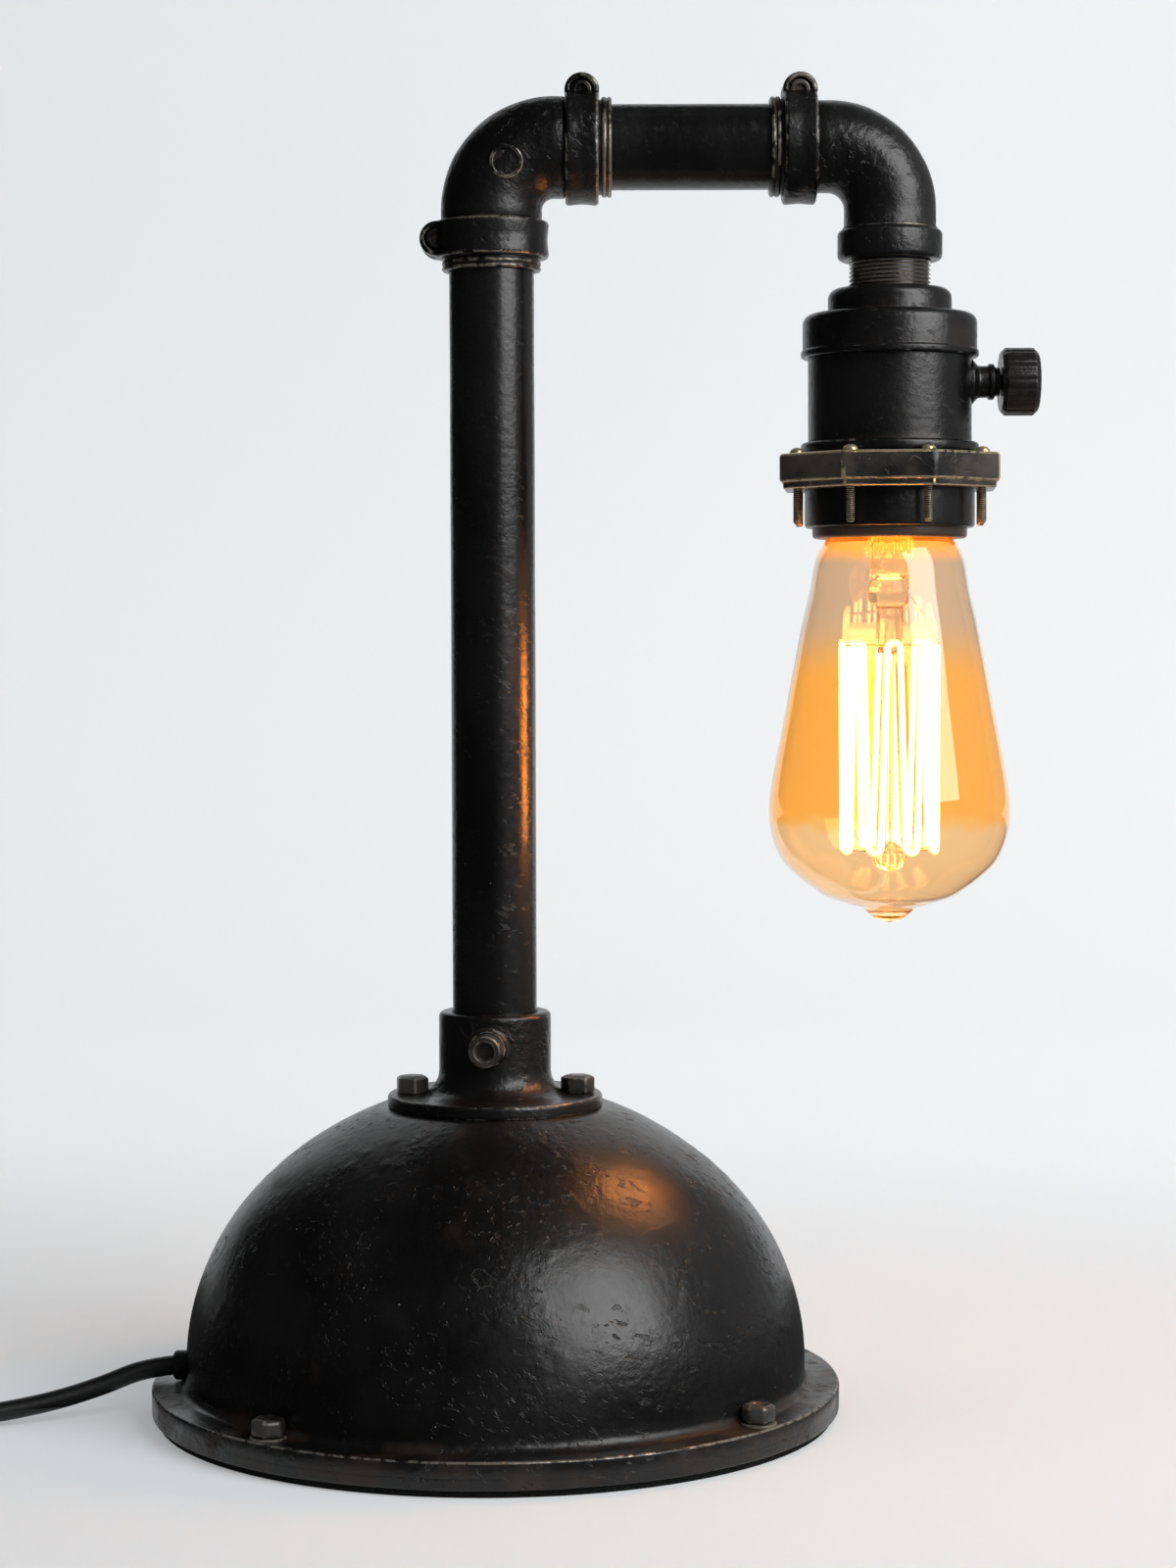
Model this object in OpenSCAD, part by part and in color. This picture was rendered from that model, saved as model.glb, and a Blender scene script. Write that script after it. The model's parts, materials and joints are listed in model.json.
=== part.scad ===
// Table lamp made of blackened iron pipe: a domed base, a post, an arm between
// two clamped elbows, and a hanging lamp holder with a turn switch.
// The origin is on the floor under the post. +X runs along the arm, -Y is the front.

/* [Base] */
// Diameter of the base flange
base_d = 182.8; // [176:0.2:200]
// Thickness of the felt foot
foot_h = 2; // [1:0.1:4]
// Set-back of the felt foot from the edge of the base
foot_inset = 1.6; // [0.5:0.1:6]
// Thickness of the plate that closes the base
plate_h = 3; // [2:0.1:5]
// Thickness of the flange at the foot of the dome
rim_h = 4.1; // [3:0.1:8]
// Width of the flange outside the dome
rim_w = 9.1; // [9:0.1:14]
// Wall of the dome
dome_wall = 4; // [3:0.1:6]
// Radius of the dome's shoulder
dome_shoulder_r = 66; // [55:0.5:72]
// How much larger the crown's radius is than the dome's
dome_crown_more = 5.7; // [3:0.1:15]
// Height of the upright wall above the flange
dome_spring = 5.4; // [3:0.1:12]
// Edge of the dome's flat that shows round the floor flange
dome_flat_edge = 2.9; // [0.5:0.1:6]
// Thickness of the dome under its flat
dome_top_wall = 6; // [4:0.1:9]
// Radius of the fillet between dome and flange
dome_fillet = 2.4; // [1:0.1:3]
// Number of bolts through the base flange
base_bolt_count = 4; // [3:1:8]
// Distance of the base bolts from the edge of the flange
base_bolt_edge = 4.9; // [4.6:0.1:6]
// Depth of the spot faces under the base bolts
spot_depth = 0.3; // [0.1:0.1:1]
// Turn of the first base bolt, to the right of the front
base_bolt_az = 51; // [30:1:60]

/* [Bolts] */
// Thread diameter of the hexagon bolts
bolt_d = 5; // [4:0.5:5]
// Width across the flats of the hexagon heads
hex_af = 8; // [7:0.1:8]
// Height of the hexagon heads
hex_h = 4.6; // [3:0.1:6]
// Height of the nuts
nut_h = 4; // [3:0.1:5]
// Diameter of the washers
washer_d = 9.2; // [8:0.1:9.2]
// Thickness of the washers
washer_h = 0.9; // [0.5:0.1:1.5]

/* [Floor flange] */
// Diameter of the floor flange
flange_d = 57.2; // [54:0.2:62]
// Thickness of the floor flange
flange_h = 3.6; // [3:0.1:6]
// Diameter of the hub
hub_d = 29.8; // [27:0.1:33]
// Height of the hub, with the flange
hub_h = 25.5; // [22:0.1:34]
// Radius of the cove between hub and flange
hub_cove = 5; // [2:0.1:5.5]
// Floor under the post inside the hub
hub_floor = 3; // [2:0.1:5]
// Circle of the two flange bolts
flange_bolt_circle = 44; // [43:0.2:46]
// Height of the post screw above the dome
post_screw_rise = 16.9; // [14:0.1:19]
// Turn of the post screw, to the left of the front
post_screw_az = 6; // [0:1:30]
// Head diameter of the post screw
post_screw_head_d = 8.5; // [7:0.1:10]
// Head height of the post screw
post_screw_head_h = 5; // [3:0.1:6]

/* [Pipes] */
// Outer diameter of post and arm
pipe_d = 22.4; // [20:0.1:25]
// Wall of the pipes
pipe_wall = 2; // [1.5:0.1:3]
// Height of the arm's axis
arm_z = 335.4; // [300:0.2:450]
// Reach from the post to the lamp holder's axis
reach = 105; // [96:0.5:220]
// Running clearance between a pipe and an elbow, on the radius
slide_gap = 0.05; // [0.02:0.01:0.1]

/* [Elbows] */
// Bend radius of the elbows, on the centre line
bend_r = 16.5; // [15:0.1:24]
// Wall of the post elbow's bend
post_elbow_wall = 4.1; // [2.5:0.1:5]
// Wall of the head elbow's bend
head_elbow_wall = 2.9; // [2:0.1:5]
// Wall of an elbow's socket under its clamp
socket_wall = 1.65; // [1.2:0.05:3]
// Straight neck between a bend and its clamp
neck_l = 3; // [1.5:0.1:6]
// Depth of the shoulder that a pipe's end faces, from the bend
seat_s = 1.4; // [0.6:0.1:2]
// Width of the groove behind a socket's lip
groove_w = 0.8; // [0.4:0.1:2]
// Width of a socket's lip
lip_w = 2.6; // [2:0.1:5]
// Height of the bead at the head elbow's lower end
bead_h = 8.1; // [6:0.1:11]
// How far that bead stands out from the elbow
bead_out = 1.7; // [0.5:0.1:3]
// Straight neck above that bead
bead_neck = 5.4; // [3:0.1:9]
// Radius of the raised ring cast on the post elbow
mark_r = 4.4; // [3:0.1:5]

/* [Clamps] */
// Width of the post clamp
post_clamp_w = 9.6; // [8.8:0.1:12]
// Width of the arm clamps
arm_clamp_w = 8.8; // [8.8:0.1:12]
// Wall of the clamps
clamp_wall = 2.25; // [1.5:0.05:4]
// Radius of the clamps' ears
ear_r = 4.1; // [3.6:0.1:4.2]
// Length of the ears along their screw
ear_len = 12; // [9:0.5:16]
// Width of the slit in clamp and socket
slit_w = 1.6; // [0.8:0.1:2.4]
// Diameter of the clamp screws
clamp_screw_d = 2.5; // [2:0.1:3]
// Web between a clamp screw, with its head, and the clamp's bore
ear_web = 0.25; // [0.15:0.05:0.6]
// Head diameter of the clamp screws
clamp_head_d = 4; // [3.6:0.1:4.6]
// Head height of the clamp screws
clamp_head_h = 2; // [1.5:0.1:3]

/* [Lamp holder] */
// Diameter of the nipple
nipple_d = 21.6; // [20:0.1:22.4]
// Length of the nipple that shows
nipple_show = 7.3; // [4:0.1:15]
// Diameter of the cap's neck
cap_neck_d = 32.6; // [30:0.1:36]
// Height of the cap's neck
cap_neck_h = 6.7; // [5:0.1:12]
// Height of the cap's skirt
cap_h = 11.5; // [9:0.1:18]
// Wall of the cap
cap_wall = 1.35; // [1:0.05:2]
// Outer diameter of the shell
shell_d = 43.1; // [42:0.1:46]
// Wall of the shell
shell_wall = 1.05; // [0.8:0.05:1.4]
// Length of the shell between cap and bead
shell_show = 22.3; // [20:0.1:34]
// Height of the bead at the foot of the shell
shell_bead_h = 3.2; // [2:0.1:5]
// How far that bead stands out from the shell
shell_bead_out = 1.9; // [1:0.1:3]
// Width of the eight-sided ring outside the shell
ring_w = 7.15; // [6.65:0.05:11.5]
// Height of the eight-sided ring
ring_h = 7.6; // [5:0.1:12]
// Height of the lip under the ring
ring_lip_h = 1.6; // [0.8:0.1:3]
// Turn of the ring, from one side facing the front towards the post
ring_az = 5.4; // [0:0.1:22.5]
// Distance of the ring's screws from the shell
ring_screw_out = 4.55; // [3.95:0.05:5.4]
// Thread diameter of the ring's screws
ring_screw_d = 2.2; // [1.6:0.1:3]
// Head diameter of the ring's screws
ring_screw_head_d = 4; // [3:0.1:5]
// Height of the skirt under the ring
skirt_h = 10; // [7:0.1:16]
// How far the skirt stands out from the shell
skirt_out = 0.85; // [0.4:0.05:2]
// Height of the collar that shows under the skirt
collar_show = 2.8; // [1.5:0.1:5]

/* [Switch] */
// Height of the switch above the foot of the cap, negative is lower
switch_rise = -6.3; // [-8:0.1:-5.5]
// Diameter of the switch's stem
stem_d = 8.6; // [7:0.1:11]
// Length of the stem that shows
stem_l = 7.3; // [6.5:0.1:14]
// Diameter of the spindle
spindle_d = 4; // [3:0.1:4.2]
// Running clearance of the spindle, on the radius
spindle_gap = 0.06; // [0.03:0.01:0.1]
// Diameter of the knob
knob_d = 18; // [14:0.2:24]
// Length of the knob
knob_l = 10.2; // [8:0.1:16]
// Number of flutes round the knob
knob_flutes = 24; // [12:1:36]

/* [Bulb] */
// Largest diameter of the bulb
bulb_d = 63.8; // [54:0.2:80]
// Room for the collar between the shell's threaded neck and the bulb's neck
neck_room = 2.75; // [2.2:0.05:4]
// Length of the glass under its cap
glass_l = 111.5; // [100:0.5:140]
// Thickness of the glass
glass_wall = 1; // [0.6:0.1:1.6]
// Diameter of the cap's thread
cap_thread_d = 26.4; // [26:0.1:27]
// Height of the bulb's cap, from its rim to its contact
bulb_cap_h = 26.5; // [25:0.1:28]
// Pitch of the cap's thread
cap_pitch = 3.62; // [3:0.01:4]
// Radius of the filament's cage
cage_r = 12.6; // [10:0.2:18]
// Diameter of the glass tube that carries the filament
stem_tube_d = 11.2; // [9:0.1:12]
// Height of the filament's cage
cage_h = 53.5; // [40:0.5:60]
// Number of lower hooks in the cage
cage_hooks = 8; // [5:1:10]
// Diameter of the filament's wire
wire_d = 0.7; // [0.4:0.05:0.9]

/* [Cord] */
// Diameter of the cord
cord_d = 5.2; // [4.8:0.1:5.4]
// Turn of the cord's way out, in front of the left side
cord_az = 3; // [0:1:10]
// Height of the cord's way out
cord_z = 13.4; // [13:0.1:20]
// Radius of the coil's inmost turn
coil_in_r = 22; // [21:0.5:26]
// Step from turn to turn in the coil
coil_pitch = 5.9; // [5.9:0.05:7]
// Whole turns in the coil
coil_turns = 7; // [4:1:9]
// Thickness of the tie round the coil
tie_t = 0.6; // [0.4:0.1:1]
// Width of the tie
tie_w = 4; // [3:0.5:8]
// Width of the plug
plug_w = 24; // [22:0.5:28]
// Thickness of the plug
plug_t = 13; // [12:0.5:16]
// Length of the plug's body
plug_l = 27; // [22:0.5:34]

/* [Hidden] */
$fn = 64;
// Gap between pieces that seat in one another, on the radius
seat_gap = 0.05;
// Gap left at the end of a seat
end_gap = 0.2;

IRON = [0.10, 0.095, 0.09];
STEEL = [0.30, 0.28, 0.25];
BRASS = [0.55, 0.42, 0.22];
BLACK = [0.05, 0.05, 0.05];
GLASS = [0.95, 0.72, 0.35, 0.35];
GLOW = [1.0, 0.75, 0.35];

// Levels of the base, from the floor up
plate_z = foot_h;
rim_z = plate_z + plate_h;
rim_top = rim_z + rim_h;
spring_z = rim_top + dome_spring;
dome_r = base_d / 2 - rim_w;
dome_crown_r = dome_r + dome_crown_more;
// Centre of the crown's arc: the crown meets the shoulder in one tangent
crown_z = spring_z - sqrt(pow(dome_crown_r - dome_shoulder_r, 2) - pow(dome_r - dome_shoulder_r, 2));
crown_turn = atan2(spring_z - crown_z, dome_r - dome_shoulder_r);
dome_top = crown_z + sqrt(pow(dome_crown_r, 2) - pow(flange_d / 2 + dome_flat_edge, 2));
lead_hole_r = pipe_d / 2 - pipe_wall - 0.7;
bolt_circle_r = base_d / 2 - base_bolt_edge;
spot_r = washer_d / 2 + 0.15;
bolt_seat = rim_top - spot_depth;

// Levels of post, elbows and lamp holder
hub_top = dome_top + hub_h;
post_foot = dome_top + hub_floor;
bend_z = arm_z - bend_r;
bore_r = pipe_d / 2 - pipe_wall;
pipe_bore_r = pipe_d / 2 + slide_gap;
socket_r = pipe_bore_r + socket_wall;
post_bend_r = bore_r + post_elbow_wall;
head_bend_r = bore_r + head_elbow_wall;
clamp_r = socket_r + seat_gap + clamp_wall;
clamp_head_gap = 0.1;
ear_in = socket_r + seat_gap + ear_web;
ear_x = max(ear_in + clamp_screw_d / 2,
    clamp_head_d / 2 + clamp_head_gap + sqrt(pow(ear_in, 2) - pow(ear_len / 2 - clamp_head_h, 2)));
post_leg = neck_l + post_clamp_w + groove_w + lip_w;
arm_leg = neck_l + arm_clamp_w + groove_w + lip_w;
post_top = bend_z - seat_s - end_gap;
arm_x0 = bend_r + seat_s + end_gap;
arm_x1 = reach - bend_r - seat_s - end_gap;
// Where the lead is cut: inside the post clamp and inside the head clamp
swing_z = bend_z - neck_l - post_clamp_w / 2;
tilt_x = reach - bend_r - neck_l - arm_clamp_w / 2;
elbow_end = bend_z - bead_neck - bead_h;
nipple_r = nipple_d / 2;
cap_top = elbow_end - nipple_show;
cap_step = cap_top - cap_neck_h;
cap_end = cap_step - cap_h;
shell_r = shell_d / 2;
cap_r = shell_r + seat_gap + cap_wall;
shell_top = cap_end + cap_h / 2;
bead_top = cap_end - shell_show;
ring_top = bead_top - shell_bead_h;
ring_foot = ring_top - ring_h;
ring_end = ring_foot - ring_lip_h;
skirt_end = ring_end - skirt_h;
collar_end = skirt_end - collar_show;
// Threaded neck of the shell, which carries ring, skirt and collar
thread_r = shell_r - shell_wall - 0.1;
thread_in_r = thread_r - shell_wall;
ring_af = 2 * (shell_r + ring_w);
skirt_r = shell_r + skirt_out;
bulb_neck_d = 2 * (thread_in_r - neck_room);
ledge_z = bead_top - shell_wall;
sleeve_out_r = shell_r - shell_wall - seat_gap;
sleeve_in_r = sleeve_out_r - 0.8;
core_r = min(sleeve_in_r, thread_in_r) - 0.2;
switch_z = cap_end + switch_rise;
cam_r = spindle_d / 2 + 1.2;
cam_h = 5;
core_top = cap_end;
core_flange = 1.5;
ceiling_z = switch_z - cam_r - 1.3;
leaf_t = 0.6;
contact_z = ceiling_z - leaf_t;
cap_rim = contact_z - bulb_cap_h;
core_foot = cap_rim + 4.5;
cap_bore_r = cap_thread_d / 2 + 0.15;
screw_shell_t = 0.6;
collar_in_r = bulb_neck_d / 2 + 0.8;
stem_end = shell_r + stem_l;
knob_s = stem_end + 0.4;
bush_r = spindle_d / 2 + 1;
bush_in = sleeve_in_r - 0.2;

// Glass inside the bulb's cap, and the tube that stands in it
glass_neck_r = cap_thread_d / 2 - 2.2;
glass_rise = 1.2;
stem_tube_r = stem_tube_d / 2;
// Cage of the filament, below the rim of the bulb's cap
cage_top = cap_rim - glass_l * 0.34;
cage_foot = cage_top - cage_h;
hook_r = 0.3;
turn_r = wire_d / 2 + hook_r + 0.25;

// Way of the cord: out of the dome, down to the floor, round the coil, to the plug
cord_r = cord_d / 2;
bush_nose = 3.6;
cord_dir = [-cos(cord_az), -sin(cord_az), 0];
cord_exit = cord_dir * (dome_r + bush_nose) + [0, 0, cord_z];
coil_c = [-base_d / 2 - 110.6, 1];
coil_az0 = -62;
coil_az1 = -180;
coil_span = coil_turns + (coil_az0 - coil_az1) / 360;
coil_z0 = cord_r + tie_t + 0.3;
coil_z1 = coil_z0 + cord_d + 0.6;
// The lead's points count from the left edge of the base, the tail's from the middle of the coil
LEAD_POINTS = [
    [-3.6, -6, 12], [-12.6, -8.5, 9], [-22.6, -11.5, 6.3], [-32.6, -14.5, 4.5],
    [-42.6, -17.5, 3.4], [-54.6, -21.5, 2.8], [-68.6, -27, 2.9]
];
TAIL_POINTS = [
    [-43.5, 17, 8.6], [-43.5, 32, 7.8], [-40.5, 45, 7.2], [-32.5, 55.5, 6.8], [-21, 60.5, 6.6]
];
plug_nose = [coil_c[0] - 10, coil_c[1] + 61, plug_t / 2];
plug_nose_l = 16;
blade_l = 16;

// Points of an arc, from angle a0 to a1
function arc(c, r, a0, a1, n = 8) =
    [for (i = [0:n]) let (a = a0 + (a1 - a0) * i / n) [c[0] + r * cos(a), c[1] + r * sin(a)]];
function unit(v) = v / norm(v);
// Smooth curve through a list of points
function through(p, n = 4) = concat(
    [for (i = [0:len(p) - 2], k = [0:n - 1])
        let (a = p[max(i - 1, 0)], b = p[i], c = p[i + 1], d = p[min(i + 2, len(p) - 1)], t = k / n)
        (2 * b + (c - a) * t + (2 * a - 5 * b + 4 * c - d) * t * t + (3 * b - a - 3 * c + d) * pow(t, 3)) / 2],
    [p[len(p) - 1]]);
// The same outline, moved inwards by w
function inset(p, w) = [for (i = [0:len(p) - 1])
    let (t = unit(p[min(i + 1, len(p) - 1)] - p[max(i - 1, 0)])) p[i] + w * [t[1], -t[0]]];

// Directions along a way, with those at its two ends as given
function headings(p, t0, t1) = [for (i = [0:len(p) - 1])
    i == 0 ? t0 : i == len(p) - 1 ? t1 : unit(unit(p[i + 1] - p[i]) + unit(p[i] - p[i - 1]))];
// Normals carried along those directions without twist
function normals(t, n, i = 0, out = []) = i == len(t) ? out :
    let (m = unit(n - (n * t[i]) * t[i])) normals(t, m, i + 1, concat(out, [m]));

// Round tube swept along a way, with flat ends square to t0 and t1
module tube(p, r, sides, t0, t1, n0 = [0, 0, 1]) {
    t = headings(p, t0, t1);
    n = normals(t, n0);
    last = len(p) - 1;
    points = [for (i = [0:last], k = [0:sides - 1])
        let (a = 360 * k / sides) p[i] + r * (cos(a) * n[i] + sin(a) * cross(t[i], n[i]))];
    walls = [for (i = [0:last - 1], k = [0:sides - 1])
        let (a = i * sides + k, b = i * sides + (k + 1) % sides)
        each [[a, a + sides, b + sides], [a, b + sides, b]]];
    ends = [for (k = [1:sides - 2])
        each [[0, k, k + 1], [last * sides, last * sides + k + 1, last * sides + k]]];
    polyhedron(points, concat(walls, ends));
}

// Round rod from p to q
module rod(p, q, r) {
    v = q - p;
    translate(p) rotate([0, acos(v[2] / norm(v)), atan2(v[1], v[0])]) cylinder(r = r, h = norm(v), $fn = 24);
}

// Puts a piece on the lamp holder's axis, at height z
module at_head(z = 0) { translate([reach, 0, z]) children(); }
// Turns a piece from +Z to the switch's axis, with its zero on the lamp holder's axis
module at_switch() { at_head(switch_z) rotate([0, 90, 0]) children(); }
module at_flange_bolts() { for (s = [-1, 1]) translate([s * flange_bolt_circle / 2, 0, 0]) children(); }
module at_base_bolts() {
    for (i = [0:base_bolt_count - 1])
        rotate([0, 0, base_bolt_az - 90 + 360 * i / base_bolt_count]) translate([bolt_circle_r, 0, 0]) children();
}
module at_ring_screws() {
    for (i = [0:7]) rotate([0, 0, 22.5 - ring_az + 45 * i]) translate([shell_r + ring_screw_out, 0, 0]) children();
}
// Faces the front, turned to the post screw's place, at its height
module at_post_screw() {
    translate([0, 0, dome_top + post_screw_rise]) rotate([0, 0, -post_screw_az]) rotate([90, 0, 0]) children();
}
// Turns a piece from +Z to the cord's way out of the dome
module at_cord_exit() { translate([0, 0, cord_z]) rotate([0, 0, 180 + cord_az]) rotate([0, 90, 0]) children(); }

// Hexagon head with its corners turned off, standing on z = 0
module hex_head(af, h) {
    intersection() {
        rotate([0, 0, 30]) cylinder(d = af / cos(30), h = h, $fn = 6);
        rotate_extrude() polygon([[0, 0], [af * 0.6, 0], [af * 0.6, h - af * 0.1], [af * 0.46, h], [0, h]]);
    }
}

// Cap screw with a hexagon socket: its head stands on z = 0, its shank runs down
module cap_screw(d, l, head_d, head_h) {
    difference() {
        union() {
            translate([0, 0, -l]) cylinder(d = d, h = l);
            rotate_extrude() polygon(concat([[0, 0], [head_d / 2, 0]],
                arc([head_d / 2 - 0.5, head_h - 0.5], 0.5, 0, 90, 3), [[0, head_h]]));
        }
        translate([0, 0, head_h * 0.45]) cylinder(d = head_d * 0.55, h = head_h, $fn = 6);
    }
}

// Split ring round the Z axis, with its ear to -X and its screw along Y
module clamp_ring(w) {
    difference() {
        union() {
            rotate_extrude() polygon(concat(
                [[socket_r + seat_gap, -w / 2]],
                arc([clamp_r - 0.7, -w / 2 + 0.7], 0.7, -90, 0, 3),
                arc([clamp_r - 0.7, w / 2 - 0.7], 0.7, 0, 90, 3),
                [[socket_r + seat_gap, w / 2]]));
            translate([-ear_x, 0, 0]) rotate([90, 0, 0]) cylinder(r = ear_r, h = ear_len, center = true);
        }
        cylinder(r = socket_r + seat_gap, h = w + 2 * ear_r, center = true);
        translate([-ear_x, 0, 0]) cube([2 * ear_r + 4, slit_w, 2 * (w + ear_r)], center = true);
        translate([-ear_x, 0, 0]) rotate([90, 0, 0]) {
            cylinder(d = clamp_screw_d + 2 * seat_gap, h = ear_len + 2, center = true);
            translate([0, 0, ear_len / 2 - clamp_head_h]) cylinder(d = clamp_head_d + 2 * clamp_head_gap, h = clamp_head_h + 1);
        }
    }
}
module clamp_screw() {
    translate([-ear_x, 0, 0]) rotate([90, 0, 0]) translate([0, 0, ear_len / 2 - clamp_head_h])
        cap_screw(clamp_screw_d, ear_len - clamp_head_h - 0.5, clamp_head_d, clamp_head_h);
}
// Places of the three clamps
module at_post_clamp() { translate([0, 0, swing_z]) children(); }
module at_arm_clamp() {
    translate([bend_r + neck_l + arm_clamp_w / 2, 0, arm_z]) rotate([0, 90, 0]) children();
}
module at_head_clamp() { translate([tilt_x, 0, arm_z]) rotate([0, 90, 0]) children(); }

// Quarter bend of an elbow: turn is the angle where it starts in the XZ plane
module bend(c, r_out, r_in, turn) {
    translate(c) rotate([90, 0, 0]) rotate_extrude(angle = 90, start = turn)
        translate([bend_r, 0]) difference() { circle(r = r_out); circle(r = r_in); }
}
// Straight leg of an elbow along +Z from its bend: neck, socket for a clamp, groove and lip
module socket_leg(body_r, clamp_w) {
    l = neck_l + clamp_w + groove_w + lip_w;
    lip_r = socket_r + 0.15;
    rotate_extrude() polygon(concat(
        [[bore_r, 0], [bore_r, seat_s], [pipe_bore_r, seat_s], [pipe_bore_r, l]],
        arc([lip_r - 0.7, l - 0.7], 0.7, 90, 0, 3),
        [[lip_r, l - lip_w + 0.4], [lip_r - 0.4, l - lip_w], [socket_r - 0.5, l - lip_w],
         [socket_r - 0.5, neck_l + clamp_w], [socket_r, neck_l + clamp_w], [socket_r, neck_l],
         [body_r, neck_l], [body_r, 0]]));
}
// Slit of a socket, on the -X side of a leg along +Z
module socket_slit(clamp_w) {
    translate([-socket_r - 2, -slit_w / 2, neck_l + 0.8]) cube([socket_r + 2 - bore_r / 2, slit_w, clamp_w + groove_w + lip_w]);
}

module foot_pad() {
    color(BLACK) cylinder(r = base_d / 2 - foot_inset, h = foot_h);
}

module base_plate() {
    color(IRON) difference() {
        translate([0, 0, plate_z]) cylinder(d = base_d - 0.6, h = plate_h);
        at_base_bolts() cylinder(d = bolt_d + 2 * seat_gap, h = rim_top);
    }
}

// Outline of the casting: flange, fillet, shoulder, crown and flat, then back inside
module dome_outline() {
    flat_a = asin((dome_top - crown_z) / dome_crown_r);
    in_top = dome_top - dome_top_wall;
    in_a = asin((in_top - crown_z) / (dome_crown_r - dome_wall));
    polygon(concat(
        [[dome_r - dome_wall, rim_z], [base_d / 2, rim_z]],
        arc([base_d / 2 - 0.9, rim_top - 0.9], 0.9, 0, 90, 3),
        arc([dome_r + dome_fillet, rim_top + dome_fillet], dome_fillet, 270, 180, 5),
        arc([dome_r - dome_shoulder_r, spring_z], dome_shoulder_r, 0, crown_turn, 10),
        [for (p = arc([0, crown_z], dome_crown_r, crown_turn, flat_a, 9)) if (p[0] < dome_crown_r * cos(crown_turn) - 0.1) p],
        [[lead_hole_r, dome_top], [lead_hole_r, in_top]],
        arc([0, crown_z], dome_crown_r - dome_wall, in_a, crown_turn, 7),
        [for (p = arc([dome_r - dome_shoulder_r, spring_z], dome_shoulder_r - dome_wall, crown_turn, 0, 8))
            if (p[1] < crown_z + (dome_crown_r - dome_wall) * sin(crown_turn) - 0.1) p]));
}
module base_dome() {
    color(IRON) difference() {
        rotate_extrude() dome_outline();
        at_base_bolts() {
            cylinder(d = bolt_d + 0.5, h = rim_top + 1);
            translate([0, 0, bolt_seat]) cylinder(r = spot_r, h = hex_h + washer_h + 4);
        }
        at_flange_bolts() cylinder(d = bolt_d + 0.5, h = dome_top + 5);
        at_cord_exit() {
            cylinder(r = cord_r + 0.75, h = base_d);
            translate([0, 0, dome_r - 0.2]) cylinder(r = cord_r + 1.6, h = dome_fillet + 3);
        }
    }
}

module base_washers() {
    color(STEEL) at_base_bolts() translate([0, 0, bolt_seat]) difference() {
        cylinder(d = washer_d, h = washer_h);
        translate([0, 0, -1]) cylinder(d = bolt_d + 0.3, h = washer_h + 2);
    }
}
module base_bolts() {
    color(STEEL) at_base_bolts() union() {
        translate([0, 0, bolt_seat + washer_h]) hex_head(hex_af, hex_h);
        translate([0, 0, plate_z]) cylinder(d = bolt_d, h = bolt_seat + washer_h - plate_z);
    }
}

module floor_flange() {
    edge = 0.8;
    color(IRON) difference() {
        union() {
            translate([0, 0, dome_top]) rotate_extrude() polygon(concat(
                [[lead_hole_r, 0]],
                [[flange_d / 2, 0]],
                arc([flange_d / 2 - edge, flange_h - edge], edge, 0, 90, 3),
                arc([hub_d / 2 + hub_cove, flange_h + hub_cove], hub_cove, 270, 180, 6),
                arc([hub_d / 2 - 1.4, hub_h - 1.4], 1.4, 0, 90, 4),
                [[pipe_bore_r, hub_h], [pipe_bore_r, hub_floor], [lead_hole_r, hub_floor]]));
            at_post_screw() translate([0, 0, pipe_bore_r + 1])
                cylinder(d = post_screw_head_d + 1.2, h = hub_d / 2 - pipe_bore_r);
        }
        at_flange_bolts() translate([0, 0, dome_top - 1]) {
            cylinder(d = bolt_d + 0.5, h = flange_h + 2);
            translate([0, 0, flange_h + 1]) cylinder(d = hex_af / cos(30) + 0.6, h = hex_h + hub_cove);
        }
        at_post_screw() cylinder(d = bolt_d + 2 * seat_gap, h = hub_d);
    }
}
module flange_bolts() {
    color(STEEL) at_flange_bolts() union() {
        translate([0, 0, dome_top + flange_h]) hex_head(hex_af, hex_h);
        translate([0, 0, dome_top - dome_top_wall - nut_h - 2])
            cylinder(d = bolt_d, h = flange_h + dome_top_wall + nut_h + 2);
    }
}
module flange_nuts() {
    color(STEEL) at_flange_bolts() translate([0, 0, dome_top - dome_top_wall - nut_h]) difference() {
        hex_head(hex_af, nut_h);
        translate([0, 0, -1]) cylinder(d = bolt_d + 2 * seat_gap, h = nut_h + 2);
    }
}
module post_pipe() {
    color(IRON) translate([0, 0, post_foot]) difference() {
        cylinder(d = pipe_d, h = post_top - post_foot);
        translate([0, 0, -1]) cylinder(r = bore_r, h = post_top - post_foot + 2);
    }
}
module post_screw() {
    seat = hub_d / 2 + 1;
    color(STEEL) at_post_screw() translate([0, 0, seat])
        cap_screw(bolt_d, seat - pipe_d / 2 - 0.1, post_screw_head_d, post_screw_head_h);
}

module cord_bushing() {
    color(BLACK) at_cord_exit() rotate_extrude() polygon(concat(
        [[cord_r + seat_gap, dome_r - dome_wall - 2.2], [cord_r + 1.9, dome_r - dome_wall - 2.2],
         [cord_r + 1.9, dome_r - dome_wall - 0.3], [cord_r + 0.7, dome_r - dome_wall - 0.3],
         [cord_r + 0.7, dome_r], [cord_r + 1.3, dome_r]],
        arc([cord_r + 0.3, dome_r + 2.4], 1, 0, 60, 4),
        [[cord_r + 0.4, dome_r + bush_nose], [cord_r + seat_gap, dome_r + bush_nose]]));
}
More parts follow.
